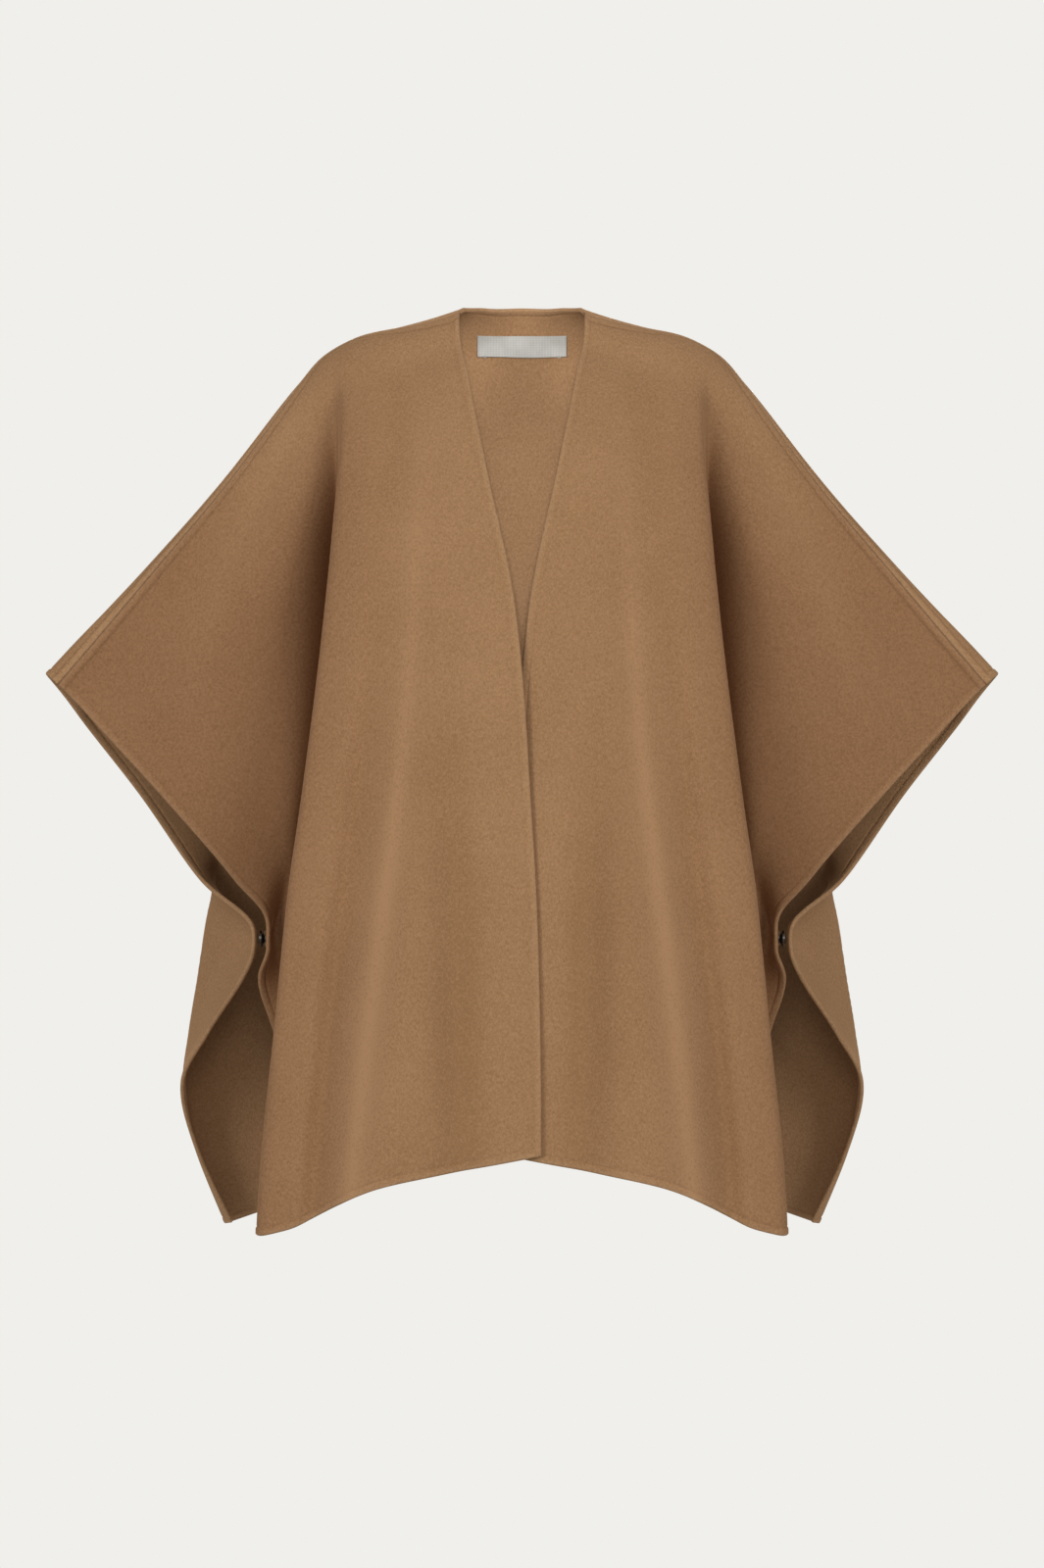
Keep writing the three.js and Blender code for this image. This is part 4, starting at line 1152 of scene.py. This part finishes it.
# Profiles inside the rim, as radius and height over the height that is named
STUD = ((6.4, "dish", -0.12), (5.0, "dish", 0), (4.0, "disc", 0), (2.9, "disc", 0), (1.9, "disc", 0.1),
        (1.75, "top", -0.7), (2.0, "top", -0.4), (1.8, "top", -0.12), (1.2, "top", 0), (0, "top", 0))
SOCKET = ((6.4, "high", 0.12), (5.2, "high", 0), (4.6, "near", 0.25), (4.2, "near", 0), (3.0, "near", 0),
          (WELL, "near", 0.2), (WELL, "floor", -0.1), (WELL_FOOT, "floor", 0), (0, "floor", 0))
THREAD = {"radius": 0.17, "places": 4, "strands": 5, "spread": 7.0, "from": 5.4, "to": 9.4, "points": 13,
          "rise": 0.5, "arch": 0.25, "arch_end": 0.6, "drop_from": 0.5, "foot": 0.1}
SEAT = {"samples": 4, "share": 0.008, "rail": 0.24}  # how finely, and over what patch, a seat is found


def snap_seat(panel, cloth):
    """Where a half snap sits: on the flange, a given way in from the side edge, on the inner side."""
    last = len(panel["tops"]) - 1
    share = np.array([SNAP_SHARE])
    fine = np.linspace(last - 1, last, SAMPLES_PER_RAIL * SEAT["samples"] + 1)
    row = middle_surface(panel, share, fine[None])[0]
    from_edge = np.linalg.norm(row - row[-1], axis=1)
    number = np.interp(SNAP_INSET, from_edge[::-1], fine[::-1])
    beside = np.array([-1, 0, 1])
    numbers = np.broadcast_to(number + SEAT["rail"] * beside, (3, 3))
    patch = middle_surface(panel, SNAP_SHARE + SEAT["share"] * beside, numbers)
    normal = grid_normals(patch, panel["facing"])[1, 1]
    return patch[1, 1] - normal * (cloth / 2 + SNAP_SEAT)


def lathe_object(name, profile, centre, axis, material):
    """A profile of (radius, height) turned round an axis, with both its ends on the axis."""
    profile = np.array(profile, float)
    sideways = unit(np.cross(axis, (0.0, 0.0, 1.0)))
    other = np.cross(axis, sideways)
    angle = np.linspace(0, 2 * np.pi, SNAP_SIDES, endpoint=False)
    spoke = sideways * np.cos(angle)[:, None] + other * np.sin(angle)[:, None]
    rings = centre + profile[1:-1, 1][:, None, None] * axis + profile[1:-1, 0][:, None, None] * spoke
    ends = centre + profile[[0, -1], 1][:, None] * axis
    count = len(profile) - 2
    index = np.arange(count * SNAP_SIDES).reshape(count, SNAP_SIDES)
    turned = np.roll(index, -1, axis=1)
    faces = np.stack([index[:-1], turned[:-1], turned[1:], index[1:]], axis=-1).reshape(-1, 4).tolist()
    first, last = count * SNAP_SIDES, count * SNAP_SIDES + 1
    faces += np.stack([np.full(SNAP_SIDES, first), turned[0], index[0]], axis=-1).tolist()
    faces += np.stack([np.full(SNAP_SIDES, last), index[-1], turned[-1]], axis=-1).tolist()
    obj = cape_object(name, np.vstack([rings.reshape(-1, 3), ends]), faces, material)
    recalculate_normals(obj)
    return obj


def rolled_rim(face, base):
    """Profile points round the rim of a disc, from its base up to its face: a rounded bead."""
    middle = (face + base) / 2
    angle = np.linspace(-QUARTER_TURN, QUARTER_TURN, RIM["points"])
    out = SNAP["radius"] - RIM["roll"] + RIM["roll"] * np.cos(angle)
    return np.stack([out, middle + (face - base) / 2 * np.sin(angle)], axis=-1).tolist()


def snap_profiles(depth):
    """Profiles of the stud and the socket, from the front's flange (0) to the back's (depth).

    Each is a dished disc with a beaded rim: the stud has a round-topped post, and the socket a well and
    a raised collar round it.
    """
    near = SNAP["disc"] + SNAP["clearance"]
    top = SNAP["disc"] + SNAP["post_share"] * (depth - SNAP["disc"])
    heights = {
        "dish": SNAP["disc"] * SNAP["dish"],
        "disc": SNAP["disc"],
        "top": top,
        "near": near,
        "high": depth - (depth - near) * SNAP["socket_depth"],
        "floor": top + SNAP["clearance"],
    }
    profiles = []
    for base, face, inside in ((0.0, "dish", STUD), (depth, "high", SOCKET)):
        profile = [(0, base), (RIM["inner"], base)] + rolled_rim(heights[face], base)
        profiles.append(profile + [(radius, heights[name] + over) for radius, name, over in inside])
    return profiles


def sewing_paths(centre, axis):
    """Strands that hold a half snap: each goes from the disc over its rim and down to the cloth.

    A strand arches as the sine of the first part of its way, and then drops to its foot.
    """
    sideways = unit(np.cross(axis, (0.0, 0.0, 1.0)))
    other = np.cross(axis, sideways)
    way = np.linspace(0, 1, THREAD["points"])[:, None]
    arch = THREAD["arch"] * np.sin(np.pi * np.clip(way / THREAD["arch_end"], 0, 1))
    over = ease((way - THREAD["drop_from"]) / (1 - THREAD["drop_from"]))
    face = SNAP["disc"] * SNAP["dish"]
    height = lerp(face + THREAD["rise"] * arch, THREAD["foot"] * THREAD["rise"], over)
    out = lerp(THREAD["from"], THREAD["to"], way)
    paths = []
    for place in range(THREAD["places"]):
        for strand in range(THREAD["strands"]):
            fan = (strand - (THREAD["strands"] - 1) / 2) * THREAD["spread"]
            angle = np.radians(360 * (place + 0.5) / THREAD["places"] + fan)
            spoke = sideways * np.cos(angle) + other * np.sin(angle)
            paths.append(centre + axis * height + spoke * out)
    return paths


class CAPE_OT_snaps(Operator):
    """A sew-on snap at each side, pressed shut, with its sewing"""

    bl_idname = "cape.snaps"
    bl_label = "Snaps"

    def execute(self, context):
        cloth = context.scene.cape_sizes.cloth
        on_front = snap_seat(FRONT, cloth)
        on_back = snap_seat(BACK, cloth)
        depth = float(np.linalg.norm(on_back - on_front))
        stud, socket = snap_profiles(depth)
        metal = finish_named("dark_nickel")
        thread = finish_named("sewing_thread")
        for side, sign in (("left", 1), ("right", -1)):
            turn = np.array([sign, 1, 1])
            centre = on_front * turn
            axis = unit((on_back - on_front) * turn)
            halves = (("stud", stud, 0.0, 1), ("socket", socket, depth, -1))
            for half, profile, base, up in halves:
                name = f"snap_{half}_{side}"
                disc = lathe_object(f"{name}_disc", profile, centre, axis, metal)
                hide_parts(name)
                paths = sewing_paths(centre + axis * base, axis * up)
                sewing = tube_object(f"{name}_sewing", paths, THREAD["radius"], thread)
        return {"FINISHED"}


# The studio, in metres: the photograph's camera is level and stands far in front of the middle of the cape
CAMERA_DISTANCE = 4.5
CAMERA_HEIGHT = -0.456
SENSOR = 36.0
VIEW_HEIGHT = 1.52  # what the frame takes in at the cape, in metres
FLOOR_BELOW = -1.45
BOWL = {"hole": 0.02, "inner": 0.5, "floor": 7.5, "floor_rings": 12, "bend": 2.5, "bend_rings": 24,
        "top": 8.0, "sides": 96}
WARM = (1.0, 0.985, 0.96)
AIR = (1.0, 0.985, 0.965)
LIGHTS = {
    "softbox_left": {"place": (3.0, -3.6, 0.7), "size": (1.6, 2.6), "power": "sides"},
    "softbox_right": {"place": (-3.0, -3.6, 0.7), "size": (1.6, 2.6), "power": "sides"},
    "front_softbox": {"place": (0, -5.2, 1.0), "size": (1.6, 1.6), "power": "front"},
    "back_softbox": {"place": (0, 4.4, 1.2), "size": (2.6, 2.0), "power": "back"},
}


def add_backdrop(colour):
    """The floor and backdrop in one: a flat disc that curves up into a round wall, turned about Z.

    It shows its own colour to the camera alone, and neither lights the cape nor takes its shadow.
    """
    bend = np.linspace(0, QUARTER_TURN, BOWL["bend_rings"])[1:]
    floor = np.r_[BOWL["hole"], np.linspace(BOWL["inner"], BOWL["floor"], BOWL["floor_rings"])]
    wall = BOWL["floor"] + BOWL["bend"] * np.sin(bend)
    out = np.r_[floor, wall, wall[-1]]
    up = np.r_[0 * floor + FLOOR_BELOW, BOWL["bend"] * (1 - np.cos(bend)) + FLOOR_BELOW, BOWL["top"]]
    angle = np.linspace(0, 2 * np.pi, BOWL["sides"], endpoint=False)
    points = np.stack([out[:, None] * np.cos(angle), out[:, None] * np.sin(angle),
                       np.broadcast_to(up[:, None], (len(up), len(angle)))], axis=-1)
    index = np.arange(points.shape[0] * points.shape[1]).reshape(points.shape[:2])
    turned = np.roll(index, -1, axis=1)
    faces = np.stack([index[:-1], turned[:-1], turned[1:], index[1:]], axis=-1).reshape(-1, 4)[:, ::-1]
    material, _, surface = blank_material("pale_backdrop")
    surface.inputs["Base Color"].default_value = (0, 0, 0, 1)
    surface.inputs["Roughness"].default_value = 1.0
    surface.inputs["Specular IOR Level"].default_value = 0.0
    surface.inputs["Emission Color"].default_value = (*linear(colour), 1)
    surface.inputs["Emission Strength"].default_value = 1.0
    obj = mesh_object("backdrop", points.reshape(-1, 3), faces.tolist(), material)
    obj.visible_diffuse = False
    obj.visible_glossy = False
    obj.visible_shadow = False


def place_light(data, place, target):
    """Puts a light at a place in the scene and aims it at a target."""
    obj = bpy.data.objects.new(data.name, data)
    bpy.context.scene.collection.objects.link(obj)
    obj.location = place
    obj.rotation_euler = (Vector(target) - Vector(place)).to_track_quat("-Z", "Y").to_euler()
    return obj


def add_softbox(name, place, size, power):
    """A rectangular soft light, aimed at the middle of the cape."""
    data = bpy.data.lights.new(name, "AREA")
    data.shape = "RECTANGLE"
    data.size, data.size_y = size
    data.energy = power
    data.color = WARM
    place_light(data, place, (0, 0, CAMERA_HEIGHT))


NECK_LIGHT = {"place": (0, -4.9, -0.25), "target": (0, 0.1, -0.19), "cone": 6.6, "blend": 1.0,
              "size": 0.12}


def add_neck_light(power, receivers):
    """A narrow soft light from beside the camera into the neck opening, which only the receivers take."""
    data = bpy.data.lights.new("neck_light", "SPOT")
    data.energy = power
    data.spot_size = np.radians(NECK_LIGHT["cone"])
    data.spot_blend = NECK_LIGHT["blend"]
    data.shadow_soft_size = NECK_LIGHT["size"]
    obj = place_light(data, NECK_LIGHT["place"], NECK_LIGHT["target"])
    lit = bpy.data.collections.new("lit_through_the_neck")
    for name in receivers:
        lit.objects.link(bpy.data.objects[name])
    obj.light_linking.receiver_collection = lit


class CAPE_OT_neck_light(Operator):
    """The light that reaches the back through the neck opening"""

    bl_idname = "cape.neck_light"
    bl_label = "Neck light"

    def execute(self, context):
        add_neck_light(context.scene.cape_stage.neck, ("back_cloth", "label_tape", "label_tacks"))
        return {"FINISHED"}


class CAPE_OT_stage(Operator):
    """The pale floor and backdrop, the soft lights and the camera"""

    bl_idname = "cape.stage"
    bl_label = "Stage"

    def execute(self, context):
        scene = context.scene
        settings = scene.cape_stage
        add_backdrop(settings.backdrop)
        world = bpy.data.worlds.new("studio")
        scene.world = world
        world.use_nodes = True
        background = world.node_tree.nodes["Background"]
        background.inputs["Color"].default_value = (*AIR, 1)
        background.inputs["Strength"].default_value = settings.ambient
        for name, light in LIGHTS.items():
            add_softbox(name, light["place"], light["size"], getattr(settings, light["power"]))
        camera = bpy.data.objects.new("camera", bpy.data.cameras.new("camera"))
        camera.data.sensor_width = SENSOR
        camera.data.lens = SENSOR * CAMERA_DISTANCE / VIEW_HEIGHT
        camera.location = (0, -CAMERA_DISTANCE, CAMERA_HEIGHT)
        camera.rotation_euler = (QUARTER_TURN, 0, 0)
        scene.collection.objects.link(camera)
        scene.camera = camera
        scene.view_settings.view_transform = "Standard"
        return {"FINISHED"}


class CAPE_PT_parts(Panel):
    """The cape's pieces in the sidebar"""

    bl_label = "Wool cape"
    bl_idname = "CAPE_PT_parts"
    bl_space_type = "VIEW_3D"
    bl_region_type = "UI"
    bl_category = "Cape"

    def draw(self, context):
        for settings in (context.scene.cape_sizes, context.scene.cape_colours, context.scene.cape_stage):
            for name in settings.__annotations__:
                self.layout.prop(settings, name)
        for operator in OPERATORS:
            self.layout.operator(operator.bl_idname)


OPERATORS = (CAPE_OT_stage, CAPE_OT_front_panels, CAPE_OT_back_panel, CAPE_OT_label, CAPE_OT_snaps,
             CAPE_OT_neck_light)
GROUPS = {"cape_sizes": CapeSizes, "cape_colours": CapeColours, "cape_stage": StageSettings}
CLASSES = (*GROUPS.values(), *OPERATORS, CAPE_PT_parts)


def register():
    for entry in CLASSES:
        bpy.utils.register_class(entry)
    for name, group in GROUPS.items():
        setattr(bpy.types.Scene, name, PointerProperty(type=group))


def unregister():
    for name in GROUPS:
        delattr(bpy.types.Scene, name)
    for entry in reversed(CLASSES):
        bpy.utils.unregister_class(entry)


def main():
    """Builds the cape and its stage."""
    register()
    bpy.ops.cape.stage()
    bpy.ops.cape.front_panels()
    bpy.ops.cape.back_panel()
    bpy.ops.cape.label()
    bpy.ops.cape.snaps()
    bpy.ops.cape.neck_light()


if __name__ == "__main__":
    main()
